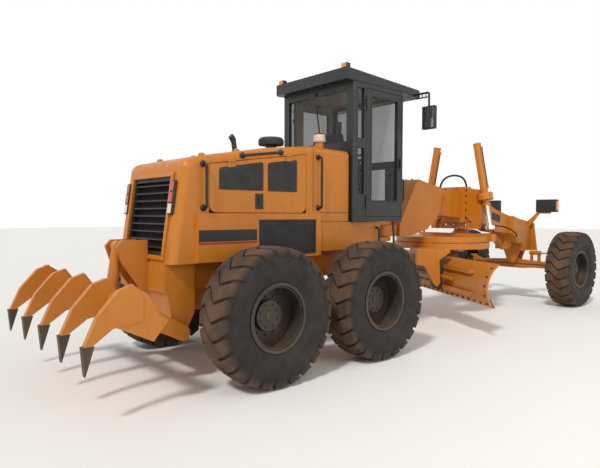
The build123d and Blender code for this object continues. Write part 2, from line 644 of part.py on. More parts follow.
goose_side = along([(2330, neck_low), (2330, neck_high), (2400, 1610), (2700, 2105), (2790, 2178),
                    (2900, 2152),
                    (3330, 2078), (3430, 2060), (3300, 1640), (3200, 1550), (3000, 1420), (2600, neck_low)])
beam_front = along([(-1020, 1740), (-270, 1570), (-270, 1300), (-570, 1300), (-1020, 1340)], front_axle_y)
beam_side = (along([(3250, 1640), (3250, beam_top), (4400, beam_top)]) + beam_front
             + along([(4450, beam_bottom), (3900, beam_bottom), (3400, 1640)]))
nose_side = along([(-520, 1300), (-520, 1625), (-270, 1568), (181, 1505), (181, 960),
                   (-140, 960), (-140, 1110), (-360, 1110)], front_axle_y)
with BuildPart() as front_frame:
    for outline, half_w in ((goose_side, goose_half), (beam_side, beam_half), (nose_side, nose_half)):
        with BuildSketch(side_plane(-half_w)):
            polygon(outline)
        extrude(amount=2 * half_w)
    with BuildSketch(Plane.XY.offset(neck_low)):
        with Locations((0, pivot_y)):
            Circle(ear_r - 5)
        with Locations((0, pivot_y + 240)):
            Rectangle(2 * 170, 40)
        make_hull()
    extrude(amount=neck_high - neck_low)
    # nose plate, wider at its foot
    with BuildSketch(Plane.XZ.offset(-plate_rear)):
        polygon([(-350, 960), (-280, 1490), (280, 1490), (350, 960)])
    extrude(amount=-plate_t)
    # lugs and pin of the oscillating axle
    for y in (-lug_out, lug_in):
        with BuildSketch(Plane.XZ.offset(-(front_axle_y + y))):
            with Locations((0, axle_pin_z)):
                Circle(80)
            with Locations((0, 980)):
                Rectangle(300, 60)
            make_hull()
        extrude(amount=-(lug_out - lug_in))
    with BuildSketch(Plane.XZ.offset(-(front_axle_y - lug_out))):
        with Locations((0, axle_pin_z)):
            Circle(axle_pin_r)
    extrude(amount=-2 * lug_out)
    # socket of the drawbar's ball
    with BuildSketch(side_plane(-100)):
        polygon(along([(-5, ball_z - 95), (-5, 1305), (250, 1305), (250, ball_z - 30), (150, ball_z - 95)],
                      ball_y))
    extrude(amount=200)
    with Locations((0, ball_y, ball_z)):
        Sphere(ball_r + shaft_gap, mode=Mode.SUBTRACT)
    # hitch bore
    with BuildSketch(Plane.XY.offset(neck_low - 1)):
        with Locations((0, pivot_y)):
            Circle(hitch_pin_r + shaft_gap)
    extrude(amount=neck_high - neck_low + 2, mode=Mode.SUBTRACT)
    # arms that carry the headlamps
    for s in (-1, 1):
        with BuildSketch(Plane.XZ.offset(-(lamp_y + 25))):
            polygon([(s * 150, 1395), (s * 150, 1470), (s * 395, lamp_low - shaft_gap),
                     (s * 640, lamp_low - shaft_gap),
                     (s * 640, lamp_low - 28), (s * 425, lamp_low - 28), (s * 240, 1420)])
        extrude(amount=50)
finish(front_frame, "front_frame")

# Headlamps
lamp_w, lamp_d, lamp_h = 386, 130, 236
with BuildPart() as headlamps:
    for s in (-1, 1):
        with BuildSketch(Plane.XY.offset(lamp_low)):
            with Locations((s * lamp_x, lamp_y)):
                RectangleRounded(lamp_w, lamp_d, 25)
        extrude(amount=lamp_h)
finish(headlamps, "headlamps")

# Saddle round the beam, with the arms that hold the lift cylinders and the holed link bar
trunnion_x, trunnion_z = 540, 1940
lift_ball_x, lift_ball_z = 640, 1400
trunnion_r = 78
lift_bore = 70
saddle_half = 230
link_pitch = 190
link_hole_r = 22


def lift_line(s):
    """The plane square to a lift cylinder at its trunnion; its normal points down the cylinder."""
    top = Vector(s * trunnion_x, saddle_y, trunnion_z)
    end = Vector(s * lift_ball_x, saddle_y, lift_ball_z)
    return Plane(origin=top, x_dir=(0, 1, 0), z_dir=end - top)


with BuildPart() as saddle:
    with BuildSketch(Plane.XZ.offset(-(saddle_y + 90))):
        with Locations((0, (beam_top + beam_bottom) / 2 - 10)):
            Rectangle(2 * saddle_half, beam_top - beam_bottom + 140)
        with Locations((0, (beam_top + beam_bottom) / 2)):
            Rectangle(2 * (beam_half + shaft_gap), beam_top - beam_bottom + 2 * shaft_gap, mode=Mode.SUBTRACT)
    extrude(amount=180)
    for s in (-1, 1):
        with BuildSketch(Plane.XZ.offset(-(saddle_y + 60))):
            polygon([(s * (saddle_half - 10), 1620), (s * (saddle_half - 10), 2090), (s * 430, 2060),
                     (s * 560, 1990),
                     (s * 560, 1860), (s * 500, 1640), (s * 440, 1411), (s * 360, 1411), (s * 330, 1540)])
        extrude(amount=120)
        # room for the barrel's swing, then the ring that it turns in
        with BuildSketch(lift_line(s).offset(-400)):
            Circle(lift_bore + 18)
        extrude(amount=900, mode=Mode.SUBTRACT)
        with BuildSketch(lift_line(s).offset(-55)):
            Circle(125)
        extrude(amount=110)
    with BuildSketch(Plane.XZ.offset(-(saddle_y + 20))):
        with Locations((0, 1478)):
            Rectangle(880, 134)
            with GridLocations(link_pitch, 0, 3, 1):
                Circle(link_hole_r, mode=Mode.SUBTRACT)
    extrude(amount=40)
    for s in (-1, 1):
        with BuildSketch(lift_line(s).offset(-400)):
            Circle(lift_bore)
        extrude(amount=900, mode=Mode.SUBTRACT)
        with Locations((s * trunnion_x, saddle_y, trunnion_z)):
            Sphere(trunnion_r + shaft_gap, mode=Mode.SUBTRACT)
finish(saddle, "saddle")

# Lift cylinders: barrels in the saddle's rings, rods down to the drawbar
barrel_r = 60
lift_rod_r = 38
barrel_up, barrel_down = 890, 150
rod_start = -430
lift_length = hypot(lift_ball_x - trunnion_x, trunnion_z - lift_ball_z)
cup_r, cup_bore, cup_h = 78, 56, 62
for side, s in sides:
    line = lift_line(s)
    with BuildPart() as barrel:
        with BuildSketch(line.offset(-barrel_up)):
            Circle(barrel_r)
        extrude(amount=barrel_up + barrel_down)
        with Locations(line):
            Sphere(trunnion_r)
        with BuildSketch(line.offset(rod_start - 10)):
            Circle(lift_rod_r + shaft_gap)
        extrude(amount=barrel_down - rod_start + 20, mode=Mode.SUBTRACT)
        # drilled centres on the axis that the barrel turns about as the drawbar lowers
        turn_axis = Vector(-0.1936, s * 0.9804, -s * 0.0358)
        for out in (turn_axis, -turn_axis):
            with BuildSketch(Plane(origin=line.origin + out * (trunnion_r + 2), x_dir=(0, 0, 1), z_dir=-out)):
                Circle(12)
            extrude(amount=12, mode=Mode.SUBTRACT)
    finish(barrel, f"lift_barrel_{side}")
    with BuildPart() as rod:
        with BuildSketch(line.offset(rod_start)):
            Circle(lift_rod_r)
        extrude(amount=lift_length - cup_bore - rod_start)
        with BuildSketch(line.offset(lift_length - cup_bore - 12)):
            Circle(cup_r)
        extrude(amount=cup_h)
        with BuildSketch(line.offset(lift_length - cup_bore)):
            Circle(cup_bore)
        extrude(amount=cup_h, mode=Mode.SUBTRACT)
    finish(rod, f"lift_rod_{side}")

# Drawbar: a plate with two wings, drawn by the ball in the nose
circle_y = tandem_y + 3700
circle_z = 1275
drawbar_low, drawbar_high = circle_z - 60, circle_z + 25
wing_half = 715
ring_outer, ring_inner = 760, 660
ring_top, ring_low = circle_z - 68, circle_z - 160
pad_count = 6
lift_stud_r = 30
with BuildPart() as drawbar:
    with BuildSketch(Plane.XY.offset(drawbar_low)):
        with Locations((0, circle_y)):
            Circle(735)
        with Locations((0, ball_y - 390)):
            Circle(95)
        make_hull()
    extrude(amount=drawbar_high - drawbar_low)
    with BuildSketch(Plane.XY.offset(drawbar_low - 1)):
        with Locations((0, circle_y)):
            Circle(290)
        polygon([(-220, circle_y + 760), (220, circle_y + 760), (60, circle_y + 1260),
                 (-60, circle_y + 1260)])
    extrude(amount=drawbar_high - drawbar_low + 2, mode=Mode.SUBTRACT)
    with BuildSketch(Plane.XY.offset(drawbar_low)):
        with Locations((0, saddle_y)):
            RectangleRounded(2 * wing_half, 120, 20)
    extrude(amount=120)
    # gear housing and motor that turn the circle
    with BuildSketch(Plane.XY.offset(drawbar_high - 1)):
        with Locations((0, circle_y + 600)):
            Circle(125)
    extrude(amount=101)
    with BuildSketch(Plane.XY.offset(drawbar_high + 99)):
        with Locations((0, circle_y + 600)):
            Circle(65)
    extrude(amount=146)
    # neck down to the ball
    with BuildSketch(side_plane(-60)):
        polygon(along([(-550, drawbar_low), (-550, drawbar_high), (-330, drawbar_high), (-38, ball_z + 70),
                       (-82, ball_z - 7), (-310, drawbar_low)], ball_y))
    extrude(amount=120)
    with BuildSketch(Plane(origin=(0, ball_y, ball_z), x_dir=(1, 0, 0), z_dir=(0, -0.87, 0.5))):
        Circle(35)
    extrude(amount=90)
    with Locations((0, ball_y, ball_z)):
        Sphere(ball_r)
    # drilled centres on the axis that the drawbar lowers about
    for s in (-1, 1):
        with BuildSketch(side_plane(s * (ball_r + 1))):
            with Locations((ball_y, ball_z)):
                Circle(10)
        extrude(amount=-s * 11, mode=Mode.SUBTRACT)
    # studs with the balls that the lift cylinders hold
    for s in (-1, 1):
        with BuildSketch(Plane.XY.offset(drawbar_low + 119)):
            with Locations((s * lift_ball_x, saddle_y)):
                Circle(17)
        extrude(amount=lift_ball_z - drawbar_low - 119)
        with Locations((s * lift_ball_x, saddle_y, lift_ball_z)):
            Sphere(lift_stud_r)
    # pads that the circle turns under, and shoes that hook below its ring
    with BuildSketch(Plane.XY.offset(ring_top + shaft_gap)):
        with Locations((0, circle_y)):
            with PolarLocations((ring_outer + ring_inner) / 2 - 12, pad_count, start_angle=30):
                Rectangle(60, 110)
    extrude(amount=drawbar_low - ring_top - shaft_gap)
    with BuildSketch(Plane.XY.offset(ring_low - 34)):
        with Locations((0, circle_y)):
            with PolarLocations(ring_inner - 60, pad_count, start_angle=30):
                Rectangle(100, 110)
    extrude(amount=drawbar_low - ring_low + 35)
    with BuildSketch(Plane.XY.offset(ring_low - 34)):
        with Locations((0, circle_y)):
            with PolarLocations(ring_inner - 10, pad_count, start_angle=30):
                Rectangle(60, 110)
    extrude(amount=28)
finish(drawbar, "drawbar")

# Circle: the turning ring with the legs that hold the blade
blade_turn = -29.25
pitch_v, pitch_z = -500, -640
tilt_v, tilt_z = -780, -330
eye_v, eye_z = -420, -330
leg_in, leg_out = 820, 880
pitch_pin_r = 34
tilt_pin_r = 22
tilt_in, tilt_out = 660, 750
turn_frame = Plane(origin=(0, circle_y, circle_z),
                   x_dir=(cos(radians(blade_turn)), sin(radians(blade_turn)), 0), z_dir=(0, 0, 1))


def blade_plane(u):
    """A plane square to the blade, u along it: local x is forwards of the blade, local y is up from the circle."""
    return Plane(origin=turn_frame.from_local_coords(Vector(u, 0, 0)), x_dir=turn_frame.y_dir,
                 z_dir=turn_frame.x_dir)


with BuildPart() as circle:
    with BuildSketch(Plane.XY.offset(ring_low)):
        with Locations((0, circle_y)):
            Circle(ring_outer)
            Circle(ring_inner, mode=Mode.SUBTRACT)
    extrude(amount=ring_top - ring_low)
    for s in (-1, 1):
        # ear from the ring out to the leg
        with BuildSketch(turn_frame.offset(ring_low - circle_z - 30)):
            polygon([(s * 330, -700), (s * leg_out, -830), (s * leg_out, -300), (s * 560, -300)])
            Circle(ring_outer - 50, mode=Mode.SUBTRACT)
        extrude(amount=60)
        with BuildSketch(blade_plane(s * leg_in)):
            polygon([(-830, -165), (-300, -165), (-300, -190), (-470, -300), (-452, pitch_z),
                     (-500, pitch_z - 58),
                     (-548, pitch_z - 20), (-700, -380), (-830, -370)])
        extrude(amount=s * (leg_out - leg_in))
        with BuildSketch(blade_plane(s * (leg_in - 60))):
            with Locations((pitch_v, pitch_z)):
                Circle(pitch_pin_r)
        extrude(amount=s * 65)
        with BuildSketch(blade_plane(s * tilt_in)):
            with Locations((tilt_v, tilt_z)):
                Circle(tilt_pin_r)
        extrude(amount=s * (leg_in - tilt_in + 5))
finish(circle, "circle")

# Blade carrier: two pivoting plates whose jaws hold the blade's rails
carrier_in, carrier_out = 775, 812
eye_pin_r = 16
rail_back, rail_front = 62, 42
rail_depth = 40
rails = {"upper": (-330, -400), "lower": (-352, -700)}
blade_half = 1830
blade_shift = 140
rail_half = 1450
shift_v, shift_z = -395, -550
shift_r, shift_rod_r = 30, 18
shift_mouth, shift_end = -80, 1120
tie_v, tie_z, tie_r = -500, -520, 28


def rail_outline(where, grow):
    """A rail's dovetail, wider at its back, larger all round by a gap."""
    v, z = rails[where]
    return [(v, z - rail_front / 2 - grow), (v - rail_depth - grow, z - rail_back / 2 - grow),
            (v - rail_depth - grow, z + rail_back / 2 + grow), (v, z + rail_front / 2 + grow)]


with BuildPart() as blade_carrier:
    for s in (-1, 1):
        with BuildSketch(blade_plane(s * carrier_in)):
            polygon([(-364, -745), (-450, -755), (-560, -690), (-570, -600), (-475, -300), (-430, -285),
                     (-380, -300),
                     (-366, -360), (-352, -450), (-380, -500), (-388, -620), (-372, -660)])
            polygon(rail_outline("upper", shaft_gap))
            polygon(rail_outline("lower", shaft_gap))
        extrude(amount=s * (carrier_out - carrier_in))
        with BuildSketch(blade_plane(s * (carrier_in - 1))):
            polygon(rail_outline("upper", shaft_gap))
            polygon(rail_outline("lower", shaft_gap))
            with Locations((pitch_v, pitch_z)):
                Circle(pitch_pin_r + shaft_gap)
        extrude(amount=s * (carrier_out - carrier_in + 2), mode=Mode.SUBTRACT)
        with BuildSketch(blade_plane(s * tilt_in)):
            with Locations((eye_v, eye_z)):
                Circle(eye_pin_r)
        extrude(amount=s * (carrier_in - tilt_in + 5))
    with BuildSketch(blade_plane(-carrier_in)):
        with Locations((tie_v, tie_z)):
            Circle(tie_r)
    extrude(amount=2 * carrier_in)
    # opening for the side-shift barrel in one plate, its rod held in the other
    with BuildSketch(blade_plane(carrier_in - 1)):
        with Locations((shift_v + 60, shift_z)):
            Rectangle(120 + 2 * shift_r + 2 * swing_gap, 2 * (shift_r + swing_gap))
    extrude(amount=carrier_out - carrier_in + 2, mode=Mode.SUBTRACT)
    with BuildSketch(blade_plane(-carrier_in - 5)):
        with Locations((shift_v, shift_z)):
            Circle(shift_rod_r)
    extrude(amount=carrier_in + 5 + 400)
finish(blade_carrier, "blade_carrier")

# Moldboard with its rails and the side-shift barrel on its back
face_r = 380
face_v, face_z = 42, -597
board_t = 22


def arc_band(inner, outer, low, high, steps):
    """A curved strip of the blade's section between two radii and two angles."""
    angles = [radians(low + (high - low) * i / steps) for i in range(steps + 1)]
    front = [(face_v - inner * cos(a), face_z + inner * sin(a)) for a in angles]
    back = [(face_v - outer * cos(a), face_z + outer * sin(a)) for a in reversed(angles)]
    return front + back


with BuildPart() as moldboard:
    with BuildSketch(blade_plane(blade_shift - blade_half)):
        polygon(arc_band(face_r, face_r + board_t, -35, 55, 18))
    extrude(amount=2 * blade_half)
    with BuildSketch(blade_plane(blade_shift - rail_half)):
        for where, (v, z) in rails.items():
            polygon(rail_outline(where, 0))
            with Locations((v + 12, z)):
                Rectangle(26, rail_front)
    extrude(amount=2 * rail_half)
    with BuildSketch(blade_plane(shift_mouth)):
        with Locations((shift_v, shift_z)):
            Circle(shift_r)
    extrude(amount=shift_end - shift_mouth)
    for u in (shift_mouth + 60, shift_end - 60):
        with BuildSketch(blade_plane(u)):
            with Locations((shift_v + 25, shift_z)):
                Rectangle(50, 40)
        extrude(amount=30)
    with BuildSketch(blade_plane(shift_mouth - 1)):
        with Locations((shift_v, shift_z)):
            Circle(shift_rod_r + shaft_gap)
    extrude(amount=shift_end - shift_mouth - 20, mode=Mode.SUBTRACT)
finish(moldboard, "moldboard")

# Cutting edge along the blade's foot
with BuildPart() as cutting_edge:
    with BuildSketch(blade_plane(blade_shift - blade_half)):
        polygon(arc_band(face_r - 17, face_r - shaft_gap, -40, -20, 4))
    extrude(amount=2 * blade_half)
finish(cutting_edge, "cutting_edge")

# Blade tilt cylinders: barrels on the legs, rods on the carrier
tilt_mid = (tilt_in + tilt_out) / 2
tilt_length = eye_v - tilt_v
tilt_r, tilt_rod_r = 38, 20
tilt_eye_bore = 26
with BuildPart() as tilt_barrels:
    for s in (-1, 1):
        with BuildSketch(blade_plane(s * tilt_mid - 36)):
            with Locations((tilt_v, tilt_z)):
                Circle(42)
        extrude(amount=72)
        with BuildSketch(Plane(origin=blade_plane(s * tilt_mid).from_local_coords(Vector(tilt_v, tilt_z, 0)),
                               x_dir=turn_frame.x_dir, z_dir=turn_frame.y_dir)):
            Circle(tilt_r)
        extrude(amount=265)
        with BuildSketch(blade_plane(s * tilt_mid - 40)):
            with Locations((tilt_v, tilt_z)):
                Circle(tilt_pin_r + shaft_gap)
        extrude(amount=80, mode=Mode.SUBTRACT)
        with BuildSketch(Plane(origin=blade_plane(s * tilt_mid).from_local_coords(Vector(tilt_v + 28,
                                                                                         tilt_z, 0)),
                               x_dir=turn_frame.x_dir, z_dir=turn_frame.y_dir)):
            Circle(tilt_rod_r + shaft_gap)
        extrude(amount=300, mode=Mode.SUBTRACT)
finish(tilt_barrels, "tilt_barrels")
with BuildPart() as tilt_rods:
    for s in (-1, 1):
        with BuildSketch(Plane(origin=blade_plane(s * tilt_mid).from_local_coords(Vector(tilt_v + 85,
                                                                                         tilt_z, 0)),
                               x_dir=turn_frame.x_dir, z_dir=turn_frame.y_dir)):
            Circle(tilt_rod_r)
        extrude(amount=tilt_length - 85)
        with BuildSketch(blade_plane(s * tilt_mid - 22)):
            with Locations((eye_v, eye_z)):
                Circle(40)
        extrude(amount=44)
        with BuildSketch(blade_plane(s * tilt_mid - 30)):
            with Locations((eye_v, eye_z)):
                Circle(tilt_eye_bore)
        extrude(amount=60, mode=Mode.SUBTRACT)
finish(tilt_rods, "tilt_rods")

# Front axle: the beam that rocks under the nose, with the barrel of the lean cylinder
lean_x, lean_z = 780, 710
lean_pin_r = 24
tongue_half = 38
beam_end = 700
bar_z = 925
barrel_in, barrel_out = 310, 520


def front_plane(y):
    """A plane parallel to the machine's end, measured from the front axle; extrudes run forwards."""
    return Plane(origin=(0, front_axle_y + y, 0), x_dir=(-1, 0, 0), z_dir=(0, 1, 0))


def facing(points):
    """Corners given as (across, up), as places in a front plane."""
    return [(-x, z) for x, z in points]


with BuildPart() as front_axle:
    with BuildSketch(front_plane(-75)):
        polygon([(-beam_end, 665), (-beam_end, 750), (-200, 780), (200, 780), (beam_end, 750),
                 (beam_end, 665),
                 (200, 620), (-200, 620)])
    extrude(amount=150)
    with BuildSketch(front_plane(-75)):
        with Locations((0, axle_pin_z)):
            Circle(88)
    extrude(amount=150)
    for s in (-1, 1):
        with BuildSketch(front_plane(-tongue_half)):
            with Locations((-s * lean_x, lean_z)):
                Circle(50)
            with Locations((-s * (beam_end - 15), 708)):
                Rectangle(20, 82)
            make_hull()
        extrude(amount=2 * tongue_half)
        with BuildSketch(front_plane(-tongue_half - 1)):
            with Locations((-s * lean_x, lean_z)):
                Circle(lean_pin_r + shaft_gap)
        extrude(amount=2 * tongue_half + 2, mode=Mode.SUBTRACT)
    with BuildSketch(front_plane(-76)):
        with Locations((0, axle_pin_z)):
            Circle(axle_pin_r + shaft_gap)
    extrude(amount=152, mode=Mode.SUBTRACT)
    with BuildSketch(side_plane(barrel_in)):
        with Locations((front_axle_y, bar_z)):
            Circle(40)
    extrude(amount=barrel_out - barrel_in)
    for x in (barrel_in + 15, barrel_out - 55):
        with BuildSketch(side_plane(x)):
            with Locations((front_axle_y, 830)):
                Rectangle(56, 170)
        extrude(amount=40)
    with BuildSketch(side_plane(barrel_in + 20)):
        with Locations((front_axle_y, bar_z)):
            Circle(22 + shaft_gap)
    extrude(amount=barrel_out - barrel_in, mode=Mode.SUBTRACT)
finish(front_axle, "front_axle")

# Lean brackets: each tilts on the axle's end and carries a wheel's upright pin
kingpin_x = 910
kingpin_r = 28
cheek_in, cheek_out = 46, 70
link_y, link_z = 105, 640
link_pin_r = 12
link_lift = 1.5           # half the way the bar's pins rise as the brackets lean
lean_drop = 4.7           # half the way the lean cylinder's pin falls as the bracket leans
lean_lug_pin_r = 14
lean_eye_bore = lean_lug_pin_r + lean_drop + 1.5
for side, s in sides:
    with BuildPart() as bracket:
        for y0, y1 in ((-cheek_out, -cheek_in), (cheek_in, cheek_out)):
            with BuildSketch(front_plane(y0)):
                polygon([(-s * x, z) for x, z in ((728, 668), (728, 752), (750, 768), (840, 800), (856, 800),
                                                  (856, 620), (838, 620), (770, 622), (750, 636))])
            extrude(amount=y1 - y0)
        with BuildSketch(front_plane(-cheek_out)):
            with Locations((-s * 847, 710)):
                Rectangle(18, 240)
        extrude(amount=2 * cheek_out)
        with BuildSketch(front_plane(-cheek_out)):
            with Locations((-s * lean_x, lean_z)):
                Circle(lean_pin_r)
        extrude(amount=2 * cheek_out)
        for z in (590, 800):
            with BuildSketch(Plane.XY.offset(z)):
                with Locations((s * kingpin_x, front_axle_y)):
                    Circle(50)
                with Locations((s * 847, front_axle_y)):
                    Rectangle(18, 120)
                make_hull()
            extrude(amount=30)
        with BuildSketch(Plane.XY.offset(600)):
            with Locations((s * kingpin_x, front_axle_y)):
                Circle(kingpin_r)
        extrude(amount=220)
        # front pin of the bar that ties both brackets together
        with BuildSketch(front_plane(cheek_in)):
            with Locations((-s * lean_x, link_z)):
                Circle(link_pin_r)
        extrude(amount=link_y + 18 - cheek_in)
        # upper lug for the lean cylinder's rod
        if s > 0:
            for y0, y1 in ((-38, -22), (22, 38)):
                with BuildSketch(front_plane(y0)):
                    polygon(facing([(750, 935), (765, 955), (795, 955), (812, 935), (856, 815), (838, 790),
                                    (812, 800)]))
                extrude(amount=y1 - y0)
            with BuildSketch(front_plane(-38)):
                with Locations((-lean_x, bar_z)):
                    Circle(lean_lug_pin_r)
            extrude(amount=76)
    finish(bracket, f"lean_bracket_{side}")

# Lean rod, and the bar that makes both brackets lean together
with BuildPart() as lean_rod:
    with BuildSketch(side_plane(barrel_in + 95)):
        with Locations((front_axle_y, bar_z)):
            Circle(22)
    extrude(amount=lean_x - barrel_in - 95)
    with BuildSketch(front_plane(-15)):
        with Locations((-lean_x, bar_z - lean_drop)):
            Circle(36)
    extrude(amount=30)
    with BuildSketch(front_plane(-30)):
        with Locations((-lean_x, bar_z - lean_drop)):
            Circle(lean_eye_bore)
    extrude(amount=60, mode=Mode.SUBTRACT)
finish(lean_rod, "lean_rod")
with BuildPart() as lean_link:
    with BuildSketch(front_plane(link_y - 12)):
        with Locations((0, link_z)):
            Rectangle(2 * lean_x, 32)
    extrude(amount=24)
    with BuildSketch(front_plane(link_y - 12)):
        with Locations((-lean_x, link_z), (lean_x, link_z)):
            Circle(30)
    extrude(amount=24)
    with BuildSketch(front_plane(link_y - 13)):
        with Locations((-lean_x, link_z + link_lift), (lean_x, link_z + link_lift)):
            Circle(link_pin_r + link_lift + 0.4)
    extrude(amount=26, mode=Mode.SUBTRACT)
finish(lean_link, "lean_link")

# Knuckles: the hub on the upright pin, the wheel's spindle and the steering arm
arm_l = 165
hub_low = 626
arm_low, arm_high = 596, 614
steer_pin_r = 13
front_spindle_end = track / 2 + front_hub["outer"] - 2 * disc_t - shaft_gap
for side, s in sides:
    with BuildPart() as knuckle:
        with BuildSketch(Plane.XY.offset(628)):
            with Locations((s * kingpin_x, front_axle_y)):
                Circle(44)
        extrude(amount=164)
        with BuildSketch(Plane.XY.offset(hub_low)):
            with Locations((s * (kingpin_x + 34), front_axle_y)):
                Rectangle(80, 76)
        extrude(amount=110)
        with BuildSketch(side_plane(s * (kingpin_x + 58))):
            with Locations((front_axle_y, wheel_r)):
                Circle(spindle_r)
        extrude(amount=s * (front_spindle_end - kingpin_x - 58))
        # steering arm, dropped below the hub so that it passes under the tie rod when the wheel leans
        with BuildSketch(Plane.XY.offset(hub_low)):
            polygon([(s * (kingpin_x + x), front_axle_y + y) for x, y in ((68, 10), (68, -76), (36, -76),
                                                                          (36, 10))])
        extrude(amount=18)
        with BuildSketch(Plane.XY.offset(arm_high - 1)):
            polygon([(s * (kingpin_x + x), front_axle_y + y) for x, y in ((68, -50), (68, -76), (36, -76),
                                                                          (36, -50))])
        extrude(amount=hub_low - arm_high + 2)
        with BuildSketch(Plane.XY.offset(arm_low)):
            polygon([(s * (kingpin_x + x), front_axle_y + y) for x, y in
                     ((68, -50), (64, -100), (40, -135), (18, -arm_l - 10), (-14, -arm_l - 14),
                      (-18, -arm_l + 12),
                      (36, -96), (36, -50))])
        extrude(amount=arm_high - arm_low)
        with BuildSketch(Plane.XY.offset(arm_high - 1)):
            with Locations((s * kingpin_x, front_axle_y - arm_l)):
                Circle(steer_pin_r)
        extrude(amount=802 - arm_high)
        with BuildSketch(Plane.XY.offset(600)):
            with Locations((s * kingpin_x, front_axle_y)):
                Circle(kingpin_r + shaft_gap)
        extrude(amount=240, mode=Mode.SUBTRACT)
    finish(knuckle, f"knuckle_{side}")

# Tie rod, with a long eye at each end for the steering arms' pins
slot_w, slot_l = 62, 79
slot_mid = front_axle_y - arm_l + slot_l / 2 - steer_pin_r - shaft_gap
with BuildPart() as tie_rod:
    with BuildSketch(Plane.XY.offset(lean_z - 10)):
        with Locations((0, front_axle_y - arm_l)):
            Rectangle(2 * kingpin_x - 60, 32)
        with Locations((-kingpin_x, slot_mid), (kingpin_x, slot_mid)):
            RectangleRounded(slot_w + 32, slot_l + 32, 20)
        with Locations((-kingpin_x, slot_mid), (kingpin_x, slot_mid)):
            RectangleRounded(slot_w, slot_l, 5, mode=Mode.SUBTRACT)
    extrude(amount=20)
finish(tie_rod, "tie_rod")

# Ripper: cross tube, arms to the frame, end plates and five shanks
tube_y, tube_z, tube_r = tandem_y - 2050, 880, 90
tube_half = 1080
ripper_eye_y, ripper_eye_z = tandem_y - 1900, 720
eye_lug_in, eye_lug_out = 38, 62
shanks = (-1062, -530, 0, 530, 1062)
shank_t = 60
tooth_w = 64
with BuildPart() as ripper:
    with BuildSketch(side_plane(-tube_half)):
        with Locations((tube_y, tube_z)):
            Circle(tube_r)
    extrude(amount=2 * tube_half)
    for s in (-1, 1):
        with BuildSketch(side_plane(s * 1040)):
            polygon(along([(-2170, 1090), (-2110, 1070), (-2000, 996), (-1940, 863), (-1830, 766),
                           (-1960, 609),
                           (-2270, 763)]))
        extrude(amount=s * 45)
        with BuildSketch(side_plane(s * (block_half + swing_gap))):
            with Locations((tube_y, tube_z)):
                Circle(tube_r)
            with Locations((boss_y, boss_z)):
                Circle(75)
            make_hull()
        extrude(amount=s * arm_t)
        with BuildSketch(side_plane(s * (block_half + swing_gap - 1))):
            with Locations((boss_y, boss_z)):
                Circle(ripper_pin_r + shaft_gap)
        extrude(amount=s * (arm_t + 2), mode=Mode.SUBTRACT)
        with BuildSketch(side_plane(s * eye_lug_in)):
            with Locations((tube_y, tube_z)):
                Circle(tube_r - 5)
            with Locations((ripper_eye_y, ripper_eye_z)):
                Circle(48)
            make_hull()
        extrude(amount=s * (eye_lug_out - eye_lug_in))
    with BuildSketch(side_plane(-eye_lug_out)):
        with Locations((ripper_eye_y, ripper_eye_z)):
            Circle(25)
    extrude(amount=2 * eye_lug_out)
    for x in shanks:
        with BuildSketch(side_plane(x - shank_t / 2)):
            polygon(along([(-2130, 1090), (-2250, 1050), (-2420, 860), (-2516, 650), (-2457, 650),
                           (-2300, 760),
                           (-2170, 780), (-2050, 790), (-2050, 980)]))
        extrude(amount=shank_t)
finish(ripper, "ripper")

# Ripper teeth
with BuildPart() as ripper_teeth:
    for x in shanks:
        with BuildSketch(side_plane(x - tooth_w / 2)):
            polygon(along([(-2535, 650 - shaft_gap), (-2513, 420), (-2440, 650 - shaft_gap)]))
        extrude(amount=tooth_w)
finish(ripper_teeth, "ripper_teeth")

# Ripper cylinder
ripper_line = Plane(origin=(0, tower_pin_y, tower_pin_z), x_dir=(1, 0, 0),
                    z_dir=(0, ripper_eye_y - tower_pin_y, ripper_eye_z - tower_pin_z))
ripper_length = hypot(ripper_eye_y - tower_pin_y, ripper_eye_z - tower_pin_z)
ripper_eye_bore = 46
with BuildPart() as ripper_barrel:
    with BuildSketch(ripper_line):
        Circle(55)
    extrude(amount=500)
    with BuildSketch(side_plane(-60)):
        with Locations((tower_pin_y, tower_pin_z)):
            Circle(52)
    extrude(amount=120)
    with BuildSketch(side_plane(-70)):
        with Locations((tower_pin_y, tower_pin_z)):
            Circle(tower_pin_r + shaft_gap)
    extrude(amount=140, mode=Mode.SUBTRACT)
    with BuildSketch(ripper_line.offset(100)):
        Circle(30 + shaft_gap)
    extrude(amount=410, mode=Mode.SUBTRACT)
finish(ripper_barrel, "ripper_barrel")
with BuildPart() as ripper_rod:
    with BuildSketch(ripper_line.offset(110)):
        Circle(30)
    extrude(amount=ripper_length - 110)
    with BuildSketch(side_plane(-34)):
        with Locations((ripper_eye_y, ripper_eye_z)):
            Circle(ripper_eye_bore + 18)
    extrude(amount=68)
    with BuildSketch(side_plane(-40)):
        with Locations((ripper_eye_y, ripper_eye_z)):
            Circle(ripper_eye_bore)
    extrude(amount=80, mode=Mode.SUBTRACT)
finish(ripper_rod, "ripper_rod")
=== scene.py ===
"""Motor grader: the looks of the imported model, finer pieces, hoses, light and camera.

Metres, in the model's own frame: +X is the machine's right, +Y is forwards and +Z is up.
"""
import json
import math
import bmesh
import bpy
from mathutils import Matrix, Vector

